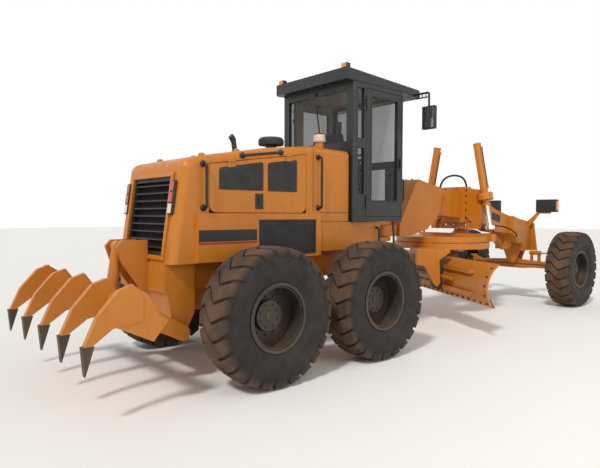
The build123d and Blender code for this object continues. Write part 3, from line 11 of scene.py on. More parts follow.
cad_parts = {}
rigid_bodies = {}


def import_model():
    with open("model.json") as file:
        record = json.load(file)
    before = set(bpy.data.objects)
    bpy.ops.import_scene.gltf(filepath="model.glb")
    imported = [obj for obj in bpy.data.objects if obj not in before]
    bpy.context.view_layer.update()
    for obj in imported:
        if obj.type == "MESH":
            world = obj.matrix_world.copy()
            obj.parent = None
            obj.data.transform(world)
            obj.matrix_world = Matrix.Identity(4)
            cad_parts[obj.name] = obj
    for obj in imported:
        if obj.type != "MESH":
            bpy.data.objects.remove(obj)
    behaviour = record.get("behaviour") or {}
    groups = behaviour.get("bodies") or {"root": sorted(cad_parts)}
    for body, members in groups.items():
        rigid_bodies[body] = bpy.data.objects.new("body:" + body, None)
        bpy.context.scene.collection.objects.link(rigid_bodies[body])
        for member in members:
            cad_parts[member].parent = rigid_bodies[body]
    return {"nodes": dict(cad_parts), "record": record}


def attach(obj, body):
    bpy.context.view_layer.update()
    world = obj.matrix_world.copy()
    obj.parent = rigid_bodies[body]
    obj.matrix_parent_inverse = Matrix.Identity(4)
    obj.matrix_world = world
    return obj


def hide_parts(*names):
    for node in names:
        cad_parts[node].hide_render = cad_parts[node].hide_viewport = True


for left_over in list(bpy.data.objects):
    bpy.data.objects.remove(left_over)
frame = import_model()

# along the machine: middle of the tandem wheels, front axle, saddle, circle
TANDEM = -2.1795
AXLE = TANDEM + 6.22
SADDLE = TANDEM + 4.12
CIRCLE, CIRCLE_Z = TANDEM + 3.70, 1.275
TANDEM_HALF = 0.77
WHEEL_R = 0.674
TRACK = 1.078             # from the middle of the machine to the middle of a tyre
SIDES = (("left", -1), ("right", 1))


# Materials

class Paint:
    """A Principled material whose colour, roughness and bump are built up from noise in object space."""

    def __init__(self, name, slot, colour, rough, metal=0.0):
        self.slot = slot
        self.mat = bpy.data.materials.new(name)
        self.mat.use_nodes = True
        self.tree = self.mat.node_tree
        self.shader = self.tree.nodes["Principled BSDF"]
        self.shader.inputs["Base Color"].default_value = (*colour, 1)
        self.shader.inputs["Roughness"].default_value = rough
        self.shader.inputs["Metallic"].default_value = metal
        self.rough = rough
        self.coord = self.node("ShaderNodeTexCoord")
        self.place = self.coord.outputs["Object"]
        self.mat.diffuse_color = (*colour, 1)
        self.colour = self.rgb(colour)

    def node(self, kind, **settings):
        n = self.tree.nodes.new(kind)
        for key, value in settings.items():
            setattr(n, key, value)
        return n

    def plug(self, source, socket):
        if isinstance(source, bpy.types.NodeSocket):
            self.tree.links.new(source, socket)
        else:
            socket.default_value = source

    def rgb(self, colour):
        n = self.node("ShaderNodeRGB")
        n.outputs[0].default_value = (*colour, 1)
        return n.outputs[0]

    def noise(self, scale, detail=4.0, stretch=None):
        n = self.node("ShaderNodeTexNoise")
        n.inputs["Scale"].default_value = scale
        n.inputs["Detail"].default_value = detail
        place = self.place
        if stretch:
            m = self.node("ShaderNodeMapping")
            m.inputs["Scale"].default_value = stretch
            self.plug(place, m.inputs["Vector"])
            place = m.outputs["Vector"]
        self.plug(place, n.inputs["Vector"])
        return n.outputs["Fac"]

    def span(self, value, low, high, to_low=0.0, to_high=1.0):
        n = self.node("ShaderNodeMapRange", clamp=True)
        for key, v in zip(("Value", "From Min", "From Max", "To Min", "To Max"),
                          (value, low, high, to_low, to_high)):
            self.plug(v, n.inputs[key])
        return n.outputs["Result"]

    def calc(self, operation, a, b=0.0):
        n = self.node("ShaderNodeMath", operation=operation, use_clamp=operation in ("ADD", "MULTIPLY"))
        self.plug(a, n.inputs[0])
        self.plug(b, n.inputs[1])
        return n.outputs[0]

    def axes(self, source=None):
        n = self.node("ShaderNodeSeparateXYZ")
        self.plug(source or self.place, n.inputs[0])
        return n.outputs

    def mix(self, share, colour):
        """Lays another colour over the one so far."""
        n = self.node("ShaderNodeMix", data_type="RGBA")
        self.plug(share, n.inputs[0])
        self.plug(self.colour, n.inputs[6])
        self.plug(colour if isinstance(colour, bpy.types.NodeSocket) else (*colour, 1), n.inputs[7])
        self.colour = n.outputs[2]

    def done(self, rough_spread=0.12, grain=260.0, grain_depth=0.0004, wave_depth=0.0012, dust=None):
        worn = self.noise(9.0, 6.0)
        rough = self.span(worn, 0.3, 0.7, max(self.rough - rough_spread, 0.02),
                          min(self.rough + rough_spread, 1.0))
        if dust is not None:
            rough = self.calc("ADD", rough, self.calc("MULTIPLY", dust, 0.35))
        self.plug(rough, self.shader.inputs["Roughness"])
        self.plug(self.colour, self.shader.inputs["Base Color"])
        fine = self.node("ShaderNodeBump")
        fine.inputs["Distance"].default_value = grain_depth
        self.plug(self.noise(grain, 2.0), fine.inputs["Height"])
        broad = self.node("ShaderNodeBump")
        broad.inputs["Distance"].default_value = wave_depth
        self.plug(self.noise(5.0, 3.0), broad.inputs["Height"])
        self.plug(broad.outputs[0], fine.inputs["Normal"])
        self.plug(fine.outputs[0], self.shader.inputs["Normal"])
        return self


DUST = (0.30, 0.19, 0.11)


def coated(name, slot, colour, rough, metal=0.0, *, dusty, tone=0.14, **ends):
    """A coat with broad tone changes, rain streaks, chips and dust that settles low down and on top faces."""
    p = Paint(name, slot, colour, rough, metal)
    p.mix(p.span(p.noise(1.3, 5.0), 0.35, 0.65), [min(c * (1 + tone), 1) for c in colour])
    p.mix(p.span(p.noise(4.0, 6.0, (3.0, 3.0, 0.35)), 0.5, 0.75, 0, 0.35),
          [c * (1 - 2 * tone) for c in colour])
    p.mix(p.span(p.noise(38.0, 8.0), 0.62, 0.72, 0, 0.4), [c * 0.45 for c in colour])
    up = p.span(p.axes(p.coord.outputs["Normal"])[2], 0.4, 1.0, 0, 0.22)
    low = p.span(p.axes()[2], 0.35, 1.5, 0.55, 0.0)
    patch = p.span(p.noise(2.6, 7.0), 0.3, 0.7, 0.25, 1.0)
    dust = p.calc("MULTIPLY", p.calc("MULTIPLY", p.calc("ADD", up, low), patch), dusty * 2)
    p.mix(dust, DUST)
    return p.done(dust=dust, **ends)


YELLOW = (0.52, 0.172, 0.009)
paint = coated("paint", "paint", YELLOW, 0.40, dusty=0.16, tone=0.10)
black = coated("black_coat", "black", (0.008, 0.006, 0.006), 0.40, dusty=0.012)
plastic = coated("dark_plastic", "black", (0.016, 0.015, 0.015), 0.55, dusty=0.12, grain_depth=0.001)
steel = coated("worn_steel", "steel", (0.050, 0.040, 0.034), 0.48, 0.6, dusty=0.3)
bright = coated("bright_steel", "steel", (0.36, 0.34, 0.31), 0.3, 0.9, dusty=0.2)
rims = coated("rim_coat", "rims", (0.012, 0.011, 0.012), 0.42, dusty=0.22)
chrome = coated("chrome", "rod", (0.80, 0.79, 0.77), 0.14, 1.0, dusty=0.05, tone=0.03, wave_depth=0.0002,
                grain_depth=0.0001, rough_spread=0.05)
cream = coated("cream_cap", "black", (0.62, 0.55, 0.42), 0.4, dusty=0.1)
red_line = coated("red_line", "paint", (0.34, 0.02, 0.012), 0.4, dusty=0.15)


def rubber(name, slot, dust_and_light_by_radius):
    """Black rubber. A tyre's is painted a lighter brown towards its tread crown, partly as dust and partly as
    painted light for the lit tread faces, and is dusty in patches on its walls.
    """
    p = Paint(name, slot, (0.010, 0.008, 0.007), 0.75)
    p.mix(p.span(p.noise(7.0, 6.0), 0.35, 0.7, 0, 0.5), (0.022, 0.016, 0.013))
    dust = None
    if dust_and_light_by_radius:
        _, y, z = p.axes()
        flat = p.node("ShaderNodeCombineXYZ")
        p.plug(y, flat.inputs[1])
        p.plug(z, flat.inputs[2])
        size = p.node("ShaderNodeVectorMath", operation="LENGTH")
        p.plug(flat.outputs[0], size.inputs[0])
        # painted light and dust: the tread crown is made a lighter brown all round the tyre, in patches,
        # standing in for both dust and the lit tread faces
        crown_dust_and_light = p.span(size.outputs["Value"], 0.585, 0.668, 0.0, 0.95)
        patch = p.span(p.noise(5.0, 8.0), 0.32, 0.62, 0.25, 1.0)
        dust = p.calc("MULTIPLY", crown_dust_and_light, patch)
        p.mix(dust, (0.13, 0.076, 0.046))
        wall = p.span(p.noise(3.0, 8.0), 0.5, 0.75, 0.0, 0.16)
        p.mix(wall, (0.10, 0.065, 0.045))
    return p.done(grain=180.0, grain_depth=0.0012, wave_depth=0.002, dust=dust)


tyre_rubber = rubber("tyre_rubber", "tyre", True)
hose_rubber = rubber("hose_rubber", "black", False)


def clear(name, slot, tint, facing_alpha, edge_alpha):
    """Tinted glass that is clearer face on, with a thin uneven film of dirt."""
    p = Paint(name, slot, tint, 0.05)
    p.mix(p.span(p.noise(0.8, 2.0), 0.4, 0.7, 0, 0.3), [c * 1.3 for c in tint])
    weight = p.node("ShaderNodeLayerWeight")
    weight.inputs["Blend"].default_value = 0.35
    film = p.span(p.noise(1.1, 2.0), 0.45, 0.75, 0.0, 0.04)
    alpha = p.calc("ADD", p.span(weight.outputs["Fresnel"], 0.02, 0.7, facing_alpha, edge_alpha), film)
    p.plug(alpha, p.shader.inputs["Alpha"])
    return p.done(rough_spread=0.02, grain=4.0, grain_depth=0.00002, wave_depth=0.0001)


glass = clear("cab_glass", "glass", (0.045, 0.052, 0.050), 0.10, 0.50)


def lens(name, colour):
    """Lamp plastic with a fine grain and a glossy coat."""
    p = Paint(name, "lamp", colour, 0.16)
    p.mix(p.span(p.noise(60.0, 3.0), 0.4, 0.6, 0, 0.5), [min(c * 1.35 + 0.01, 1) for c in colour])
    p.shader.inputs["Coat Weight"].default_value = 0.6
    return p.done(rough_spread=0.08, grain=90.0, grain_depth=0.002, wave_depth=0.0005)


red_lens = lens("red_lens", (0.42, 0.012, 0.008))
amber_lens = lens("amber_lens", (0.80, 0.20, 0.012))
white_lens = lens("white_lens", (0.62, 0.62, 0.60))
mirror_glass = coated("mirror_glass", "glass", (0.62, 0.66, 0.68), 0.07, 1.0, dusty=0.05, tone=0.03,
                      wave_depth=0.0002, grain_depth=0.00005, rough_spread=0.03)


def fabric(name, slot, colour, depth):
    """Rough cloth with broad tone changes and a fine raised grain."""
    p = Paint(name, slot, colour, 0.82)
    p.mix(p.span(p.noise(6.0, 5.0), 0.35, 0.65, 0, 0.6), [c * 1.6 for c in colour])
    return p.done(grain=420.0, grain_depth=depth, wave_depth=0.002)


seat_cloth = fabric("seat_cloth", "seat", (0.030, 0.028, 0.027), 0.0015)


# the cab's inner walls
INSIDE_HALF = 0.6115
INSIDE_REAR, INSIDE_FRONT = TANDEM + 0.8985, TANDEM + 1.7715
INSIDE_LOW, INSIDE_HIGH = 1.6085, 3.2135


def cab_coat():
    """Black outside, and the beige lining on the faces inside the cab."""
    p = Paint("cab_coat", "black", (0.012, 0.012, 0.013), 0.34)
    p.mix(p.span(p.noise(1.3, 5.0), 0.35, 0.65), (0.018, 0.018, 0.020))
    x, y, z = p.axes()
    inside = 1.0
    walls = ((p.calc("ABSOLUTE", x), None, INSIDE_HALF), (y, INSIDE_REAR, INSIDE_FRONT),
             (z, INSIDE_LOW, INSIDE_HIGH))
    for value, low, high in walls:
        inside = p.calc("MULTIPLY", inside, p.calc("LESS_THAN", value, high))
        if low is not None:
            inside = p.calc("MULTIPLY", inside, p.calc("GREATER_THAN", value, low))
    p.mix(inside, (0.40, 0.31, 0.215))
    p.mix(p.span(p.noise(38.0, 8.0), 0.6, 0.72, 0, 0.3), (0.05, 0.04, 0.03))
    return p.done()


cab = cab_coat()
by_slot = {"paint": paint, "black": black, "steel": steel, "rims": rims, "tyre": tyre_rubber, "rod": chrome,
           "glass": glass, "seat": seat_cloth, "lamp": plastic}
by_node = {"cab_shell": cab, "cab_door_left": cab, "cab_door_right": cab,
           "grilles": plastic, "headlamps": plastic, "stacks": plastic, "console": plastic}


# Building pieces

def smooth(obj, width, angle=38.0):
    """Rounds the sharp edges and evens the shading."""
    for poly in obj.data.polygons:
        poly.use_smooth = True
    bevel = obj.modifiers.new("edges", "BEVEL")
    bevel.width = width
    bevel.segments = 2
    bevel.limit_method = "ANGLE"
    bevel.angle_limit = math.radians(angle)
    obj.modifiers.new("shading", "WEIGHTED_NORMAL")


def dress(name, material, width):
    """Gives a carried-over piece its material and rounded edges."""
    obj = frame["nodes"][name]
    mesh = obj.data
    mesh.materials.clear()
    mesh.materials.append(material.mat)
    if "custom_normal" in mesh.attributes:
        mesh.attributes.remove(mesh.attributes["custom_normal"])
    weld = obj.modifiers.new("weld", "WELD")
    weld.merge_threshold = 0.00002
    flat = obj.modifiers.new("flat", "DECIMATE")
    flat.decimate_type = "DISSOLVE"
    flat.angle_limit = math.radians(0.6)
    smooth(obj, width)


def piece(name, bm, material, body, round_by=None):
    """Makes a finished object of a mesh, riding on a body."""
    mesh = bpy.data.meshes.new(name)
    bmesh.ops.recalc_face_normals(bm, faces=bm.faces)
    bm.to_mesh(mesh)
    bm.free()
    mesh.materials.append(material.mat)
    obj = bpy.data.objects.new(name, mesh)
    bpy.context.scene.collection.objects.link(obj)
    if round_by:
        smooth(obj, round_by)
    else:
        for poly in mesh.polygons:
            poly.use_smooth = True
        mesh.set_sharp_from_angle(angle=math.radians(35))
    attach(obj, body)
    return obj


def ring(bm, centre, axis, radius, count):
    """The points of a circle about an axis."""
    axis = Vector(axis).normalized()
    side = axis.orthogonal().normalized()
    other = axis.cross(side)
    turns = [2 * math.pi * i / count for i in range(count)]
    return [bm.verts.new(Vector(centre) + radius * (side * math.cos(a) + other * math.sin(a))) for a in turns]


def loft(bm, loops, caps=True):
    """Faces between loops of equally many points, and over the two ends."""
    for a, b in zip(loops, loops[1:]):
        for i in range(len(a)):
            j = (i + 1) % len(a)
            bm.faces.new((a[i], a[j], b[j], b[i]))
    if caps:
        bm.faces.new(list(reversed(loops[0])))
        bm.faces.new(loops[-1])


def lathe(bm, centre, axis, outline, count):
    """A turned solid. outline: how far along the axis, radius."""
    axis = Vector(axis).normalized()
    loft(bm, [ring(bm, Vector(centre) + axis * h, axis, r, count) for h, r in outline])


def bolt(bm, place, axis, size):
    """A washer and a chamfered hexagon head."""
    axis = Vector(axis).normalized()
    lathe(bm, place, axis, ((0, size * 1.5), (0.003, size * 1.5)), 16)
    lathe(bm, Vector(place) + axis * 0.003, axis,
          ((0, size), (size * 0.7, size), (size * 0.85, size * 0.8)), 6)


def slab(bm, low, high, centre, turn=None):
    """A box from its lowest to its highest corner about a centre, turned about it or not."""
    corners = [Vector((x, y, z))
               for x in (low[0], high[0]) for y in (low[1], high[1]) for z in (low[2], high[2])]
    if turn:
        corners = [turn @ c for c in corners]
    v = [bm.verts.new(c + Vector(centre)) for c in corners]
    for face in ((0, 1, 3, 2), (4, 6, 7, 5), (0, 4, 5, 1), (2, 3, 7, 6), (0, 2, 6, 4), (1, 5, 7, 3)):
        bm.faces.new([v[i] for i in face])


def side_prism(bm, outline, x0, x1):
    """A plate across the machine. outline: along the machine, up."""
    loft(bm, [[bm.verts.new((x, y, z)) for y, z in outline] for x in (x0, x1)])


def rectangle(rear, front, low, high):
    """An outline along the machine and up."""
    return [(rear, low), (rear, high), (front, high), (front, low)]


def tube(bm, path, radius, count=12):
    """A round bar along a path of points."""
    points = [Vector(p) for p in path]
    side = (points[1] - points[0]).orthogonal().normalized()
    loops = []
    for i, p in enumerate(points):
        along = (points[min(i + 1, len(points) - 1)] - points[max(i - 1, 0)]).normalized()
        side = (side - along * side.dot(along)).normalized()
        other = along.cross(side)
        loops.append([bm.verts.new(p + radius * (side * math.cos(2 * math.pi * k / count)
                                                 + other * math.sin(2 * math.pi * k / count)))
                      for k in range(count)])
    loft(bm, loops)


def arc(start, middle, end, steps):
    """Points of a quadratic bend."""
    a, b, c = Vector(start), Vector(middle), Vector(end)
    return [a * (1 - t) ** 2 + b * 2 * t * (1 - t) + c * t * t for t in (i / steps for i in range(steps + 1))]


def on_line(line, x):
    """The height at x of a line of points, whose last run is carried on."""
    for (x0, v0), (x1, v1) in zip(line, line[1:]):
        if x <= x1:
            break
    return v0 + (v1 - v0) * (x - x0) / (x1 - x0)


# Carried-over pieces

EDGE = 0.0045
other_edges = {"cab_glass": 0.0008, "door_glass_left": 0.0008, "door_glass_right": 0.0008,
               "handrails": 0.002, "lean_link": 0.002, "tie_rod": 0.002, "cutting_edge": 0.002,
               "rear_lamps": 0.004, "headlamps": 0.008}
for sub in frame["record"]["subparts"]:
    node = sub["node"]
    if not node.startswith("tyre_") and node != "seat":
        dress(node, by_node.get(node, by_slot[sub["material_slot"]]), other_edges.get(node, EDGE))


# Tyres and wheels

# out from the tyre's middle, radius
SIDEWALL = ((0.150, 0.322), (0.154, 0.335), (0.165, 0.352), (0.185, 0.400), (0.1915, 0.418), (0.194, 0.424),
            (0.1965, 0.428), (0.200, 0.455), (0.2048, 0.500), (0.203, 0.540), (0.197, 0.575),
            (0.187, 0.605), (0.172, 0.628), (0.150, 0.638), (0.100, 0.6415), (0.0, 0.643))
TYRE_SEGMENTS = 96
LUGS = 24
LUG_FLANK = 0.008
# across the tyre, along the tread
LUG_LINE = ((-0.205, 0.020), (-0.110, 0.075), (0.030, -0.075), (0.205, 0.000))
# how far across, radius, the same two at the foot, half the width along the tread
LUG_STATIONS = ((0.2025, 0.575, 0.190, 0.570, 0.045), (0.2045, 0.612, 0.180, 0.605, 0.058),
                (0.1985, 0.640, 0.172, 0.622, 0.064), (0.187, 0.6565, 0.165, 0.630, 0.068),
                (0.110, 0.6695, 0.110, 0.636, 0.070), (0.030, 0.6735, 0.030, 0.638, 0.070))


def on_tread(x, r, v, turn):
    """A point of the tyre from its place across, its radius and its place along the tread."""
    a = v / WHEEL_R + turn
    return Vector((x, -r * math.cos(a), r * math.sin(a)))


def build_tyre():
    """The mesh that all six tyres share: the carcass, and lugs that zigzag over it."""
    bm = bmesh.new()
    whole = list(SIDEWALL) + [(-x, r) for x, r in reversed(SIDEWALL[:-1])]
    turns = [2 * math.pi * i / TYRE_SEGMENTS for i in range(TYRE_SEGMENTS)]
    loops = [[bm.verts.new(on_tread(x, r, 0, turn)) for x, r in whole] for turn in turns]
    loft(bm, loops + [loops[0]], caps=False)
    stations = list(LUG_STATIONS) + [(-x, r, -bx, br, w) for x, r, bx, br, w in reversed(LUG_STATIONS)]
    for k in range(LUGS):
        turn = 2 * math.pi * k / LUGS
        rows = []
        for x, r, base_x, base_r, half_v in stations:
            v = on_line(LUG_LINE, x)
            section = ((base_x, base_r, -half_v - LUG_FLANK), (x, r, -half_v), (x, r, half_v),
                       (base_x, base_r, half_v + LUG_FLANK))
            rows.append([bm.verts.new(on_tread(px, pr, v + pv, turn)) for px, pr, pv in section])
        loft(bm, rows)
    bm.normal_update()
    bmesh.ops.recalc_face_normals(bm, faces=bm.faces)
    mesh = bpy.data.meshes.new("tyre")
    bm.to_mesh(mesh)
    mesh.materials.append(tyre_rubber.mat)
    return mesh


tyre_mesh = build_tyre()
# out from the tyre's middle, circle and count of the nuts; out and circle of the hub's bolts
DRIVEN_HUB = (-0.0505, 0.19, 12, 0.0105, 0.11)
STEERED_HUB = (0.0395, 0.145, 10, 0.0805, 0.07)
WHEELS = (("rear", TANDEM - TANDEM_HALF, DRIVEN_HUB), ("middle", TANDEM + TANDEM_HALF, DRIVEN_HUB),
          ("front", AXLE, STEERED_HUB))
HUB_BOLTS = 8
LOCK_RING_OUT = 0.128
# out from its own place, radius
LOCK_RING = ((0, 0.3005), (0.018, 0.3005), (0.026, 0.296), (0.026, 0.286), (0.0, 0.284), (0, 0.3005))


def round_axle(s, out, y, radius, turn):
    """A point on a circle about a wheel's axle."""
    return s * (TRACK + out), y + radius * math.cos(turn), WHEEL_R + radius * math.sin(turn)


for where, y, hub_sizes in WHEELS:
    for side, s in SIDES:
        obj = bpy.data.objects.new(f"lugged_tyre_{where}_{side}", tyre_mesh)
        bpy.context.scene.collection.objects.link(obj)
        obj.location = (s * TRACK, y, WHEEL_R)
        obj.rotation_euler = (0, 0, 0 if s > 0 else math.pi)
        smooth(obj, 0.004, 30.0)
        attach(obj, f"wheel_{where}_{side}")
        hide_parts(f"tyre_{where}_{side}")
        # nuts, lock ring and hub bolts
        bm = bmesh.new()
        face, nut_r, count, hub, hub_r = hub_sizes
        for i in range(count):
            bolt(bm, round_axle(s, face, y, nut_r, 2 * math.pi * i / count), (s, 0, 0), 0.014)
        for i in range(HUB_BOLTS):
            bolt(bm, round_axle(s, hub, y, hub_r, 2 * math.pi * (i + 0.5) / HUB_BOLTS), (s, 0, 0), 0.010)
        lathe(bm, (s * (TRACK + hub), y, WHEEL_R), (s, 0, 0),
              ((0, 0.052), (0.006, 0.050), (0.008, 0.040)), 32)
        piece(f"wheel_nuts_{where}_{side}", bm, steel, f"wheel_{where}_{side}")
        bm = bmesh.new()
        x = TRACK + LOCK_RING_OUT
        loft(bm, [ring(bm, (s * (x + h), y, WHEEL_R), (s, 0, 0), r, 64) for h, r in LOCK_RING], caps=False)
        piece(f"lock_ring_{where}_{side}", bm, rims, f"wheel_{where}_{side}")


# Hood

# along from the tandem's middle, up
HOOD_TOP = ((-1.40, 2.165), (-1.19, 2.217), (-0.395, 2.355), (0.227, 2.425), (0.831, 2.413))


def hood_z(y):
    """How high the hood's top is at a place along the machine."""
    return on_line(HOOD_TOP, y - TANDEM)


HOOD_SIDE, BELT_SIDE, GRILLE_BED = 0.600, 0.630, 0.614
BELT = (TANDEM - 1.268, TANDEM - 0.575)
LOUVRES, LOUVRE_FOOT, LOUVRE_STEP = 15, 1.228, 0.0238
# along: rear, front; up: low, high
GRILLE_RIM = ((-0.55, 0.27, 1.20, 1.22), (-0.55, 0.27, 1.57, 1.59),
              (-0.55, -0.53, 1.22, 1.57), (0.25, 0.27, 1.22, 1.57))
# along, up
RAIL_FEET = ((-1.2, 1.705), (-1.2, 2.130), (0.32, 1.720), (0.32, 2.300), (-0.74, 2.242), (-0.235, 2.312))
# along: rear, front; up: low, high at the rear, high at the front
VENTS = ((-1.020, -0.470, 1.890, 2.105, 2.195), (-0.410, 0.000, 1.890, 2.190, 2.250))
VENT_BEND, BEND_STEPS, VENT_EDGE = 0.035, 5, 0.022
VENT_SLATS, VENT_SLAT_STEP = 13, 0.026


def rounded(corners, radius):
    """The corners of a flat outline, each turned into a bend."""
    shares = [k / BEND_STEPS for k in range(BEND_STEPS + 1)]
    out = []
    for i, c in enumerate(corners):
        c, a, b = Vector(c), Vector(corners[i - 1]), Vector(corners[(i + 1) % len(corners)])
        p, q = c + (a - c).normalized() * radius, c + (b - c).normalized() * radius
        out += [tuple(p.lerp(c, share).lerp(c.lerp(q, share), share)) for share in shares]
    return out


for side, s in SIDES:
    band, line, dark, bolts = bmesh.new(), bmesh.new(), bmesh.new(), bmesh.new()
    side_prism(band, rectangle(*BELT, 1.375, 1.490),
               s * (BELT_SIDE - 0.0005), s * (BELT_SIDE + 0.0012))
    piece(f"belt_stripe_{side}", band, black, "rear")
    side_prism(line, rectangle(*BELT, 1.348, 1.368),
               s * (BELT_SIDE - 0.0005), s * (BELT_SIDE + 0.0012))
    piece(f"belt_line_{side}", line, red_line, "rear")
    # louvres and rim of the side grille
    for i in range(LOUVRES):
        z = LOUVRE_FOOT + i * LOUVRE_STEP
        side_prism(dark, rectangle(TANDEM - 0.528, TANDEM + 0.248, z, z + 0.006),
                   s * GRILLE_BED, s * (BELT_SIDE - 0.0065))
    for y0, y1, z0, z1 in GRILLE_RIM:
        side_prism(dark, rectangle(TANDEM + y0, TANDEM + y1, z0, z1),
                   s * GRILLE_BED, s * (BELT_SIDE - 0.0040))
    piece(f"side_louvres_{side}", dark, plastic, "rear", round_by=0.0015)
    panel = bmesh.new()
    for rear, front, low, high_rear, high_front in VENTS:
        corners = ((TANDEM + rear, low), (TANDEM + rear, high_rear),
                   (TANDEM + front, high_front), (TANDEM + front, low))
        side_prism(panel, rounded(corners, VENT_BEND), s * (HOOD_SIDE - 0.0015), s * (HOOD_SIDE + 0.0025))
        for i in range(VENT_SLATS):
            z = low + 0.020 + i * VENT_SLAT_STEP
            over = (z + 0.030 - high_rear) / (high_front - high_rear)
            y0 = rear + max(over, 0) * (front - rear)
            if over < 0.85:
                slat = rectangle(TANDEM + y0 + VENT_EDGE, TANDEM + front - VENT_EDGE, z, z + 0.006)
                side_prism(panel, slat, s * (HOOD_SIDE + 0.0020), s * (HOOD_SIDE + 0.0070))
    piece(f"door_vents_{side}", panel, plastic, f"hood_door_{side}")
    latch = bmesh.new()
    for low, high, out in (((-0.0045, -0.05, -0.08), (0.0045, 0.05, 0.08), 0.0045),
                           ((-0.006, -0.014, -0.045), (0.006, 0.014, 0.045), 0.0130)):
        slab(latch, low, high, (s * (HOOD_SIDE + out), TANDEM - 0.525, 1.78))
    piece(f"door_latch_{side}", latch, black, f"hood_door_{side}", round_by=0.003)
    # feet of the handrails
    for y, z in RAIL_FEET:
        lathe(bolts, (s * (HOOD_SIDE + 0.0003), TANDEM + y, z), (s, 0, 0),
              ((0, 0.034), (0.007, 0.034), (0.010, 0.026), (0.022, 0.019)), 24)
    piece(f"rail_feet_{side}", bolts, black, "rear")
    # seams of the front tank section, upright and level
    seam = bmesh.new()
    x = s * (HOOD_SIDE + 0.0003)
    slab(seam, (-0.0006, -0.003, -0.37), (0.0006, 0.003, 0.37), (x, TANDEM + 0.245, 2.03))
    slab(seam, (-0.0006, -0.235, -0.003), (0.0006, 0.235, 0.003), (x, TANDEM + 0.59, 1.667))
    piece(f"hood_seams_{side}", seam, plastic, "rear")

# lifting domes
domes = bmesh.new()
for y in (-1.12, -0.70, 0.42):
    for s in (-1, 1):
        lathe(domes, (s * 0.44, TANDEM + y, hood_z(TANDEM + y) - 0.002), (0, 0, 1),
              ((0, 0.034), (0.012, 0.034), (0.022, 0.027), (0.028, 0.014), (0.029, 0.004)), 24)
piece("hood_domes", domes, paint, "rear")

# radiator: raised frame, and the core behind the slats
REAR_FOOT, REAR_HEAD = (-1.545, 1.1703), HOOD_TOP[0]
GRILLE_Z, FRAME_WIDTH = 1.625, 0.045
lean = math.atan2(REAR_HEAD[0] - REAR_FOOT[0], REAR_HEAD[1] - REAR_FOOT[1])
rear_turn = Matrix.Rotation(-lean, 3, "X")
grille_at = (0, TANDEM + REAR_FOOT[0] + (GRILLE_Z - REAR_FOOT[1]) * math.tan(lean), GRILLE_Z)
raised = bmesh.new()
half_w, half_h = 0.41, 0.384
full_w, full_h = half_w + FRAME_WIDTH, half_h + FRAME_WIDTH
for low, high in (((-full_w, -0.022, half_h), (full_w, 0.002, full_h)),
                  ((-full_w, -0.022, -full_h), (full_w, 0.002, -half_h)),
                  ((-full_w, -0.022, -half_h), (-half_w, 0.002, half_h)),
                  ((half_w, -0.022, -half_h), (full_w, 0.002, half_h))):
    slab(raised, low, high, grille_at, rear_turn)
piece("grille_frame", raised, paint, "rear", round_by=0.006)
CORE_FINS, CORE_FIN_HALF, CORE_FIN_STEP = 54, 0.405, 0.0153
core = bmesh.new()
slab(core, (-0.44, 0.062, -0.40), (0.44, 0.075, 0.40), grille_at, rear_turn)
for i in range(CORE_FINS):
    x = -CORE_FIN_HALF + i * CORE_FIN_STEP
    slab(core, (x, 0.056, -0.38), (x + 0.003, 0.063, 0.38), grille_at, rear_turn)
piece("radiator_core", core, plastic, "rear")

# lenses of the rear clusters, the roof lamps and the headlamps
REAR_LENSES = (("stop", 0.108, red_lens), ("turn", 0.0, red_lens), ("reverse", -0.108, white_lens))
REAR_LAMP_X, ROOF_LAMP_X, HEADLAMP_X = 0.49, 0.59, 0.57
for side, s in SIDES:
    for name, z, material in REAR_LENSES:
        bm = bmesh.new()
        slab(bm, (-0.031, -0.0385, z + 0.1315), (0.031, -0.0315, z + 0.2225),
             (s * REAR_LAMP_X, grille_at[1], grille_at[2]), rear_turn)
        piece(f"{name}_lens_{side}", bm, material, "rear", round_by=0.003)
    bm = bmesh.new()
    slab(bm, (-0.038, -0.0085, -0.024), (0.038, 0.001, 0.024), (s * ROOF_LAMP_X, TANDEM + 0.750, 3.428))
    piece(f"roof_lens_{side}", bm, amber_lens, "rear", round_by=0.003)
    bm = bmesh.new()
    slab(bm, (-0.030, -0.030, 0), (0.030, 0.022, 0.004), (s * ROOF_LAMP_X, TANDEM + 0.790, 3.4565))
    piece(f"roof_lamp_lid_{side}", bm, plastic, "rear", round_by=0.0015)
    bm = bmesh.new()
    for x in (-0.095, 0.080):
        slab(bm, (-0.078, 0, -0.085), (0.078, 0.006, 0.085),
             (s * HEADLAMP_X + s * x, AXLE + 0.1748, 1.818))
    piece(f"head_lens_{side}", bm, white_lens, "front", round_by=0.003)
    bm = bmesh.new()
    slab(bm, (-0.003, -0.050, -0.085), (0.003, 0.050, 0.085), (s * 0.7645, AXLE + 0.11, 1.82))
    piece(f"side_lens_{side}", bm, amber_lens, "front", round_by=0.002)
    bm = bmesh.new()
    slab(bm, (-0.185, -0.058, 0), (0.185, 0.058, 0.004), (s * HEADLAMP_X, AXLE + 0.11, 1.9355))
    piece(f"lamp_lid_{side}", bm, bright, "front", round_by=0.0018)

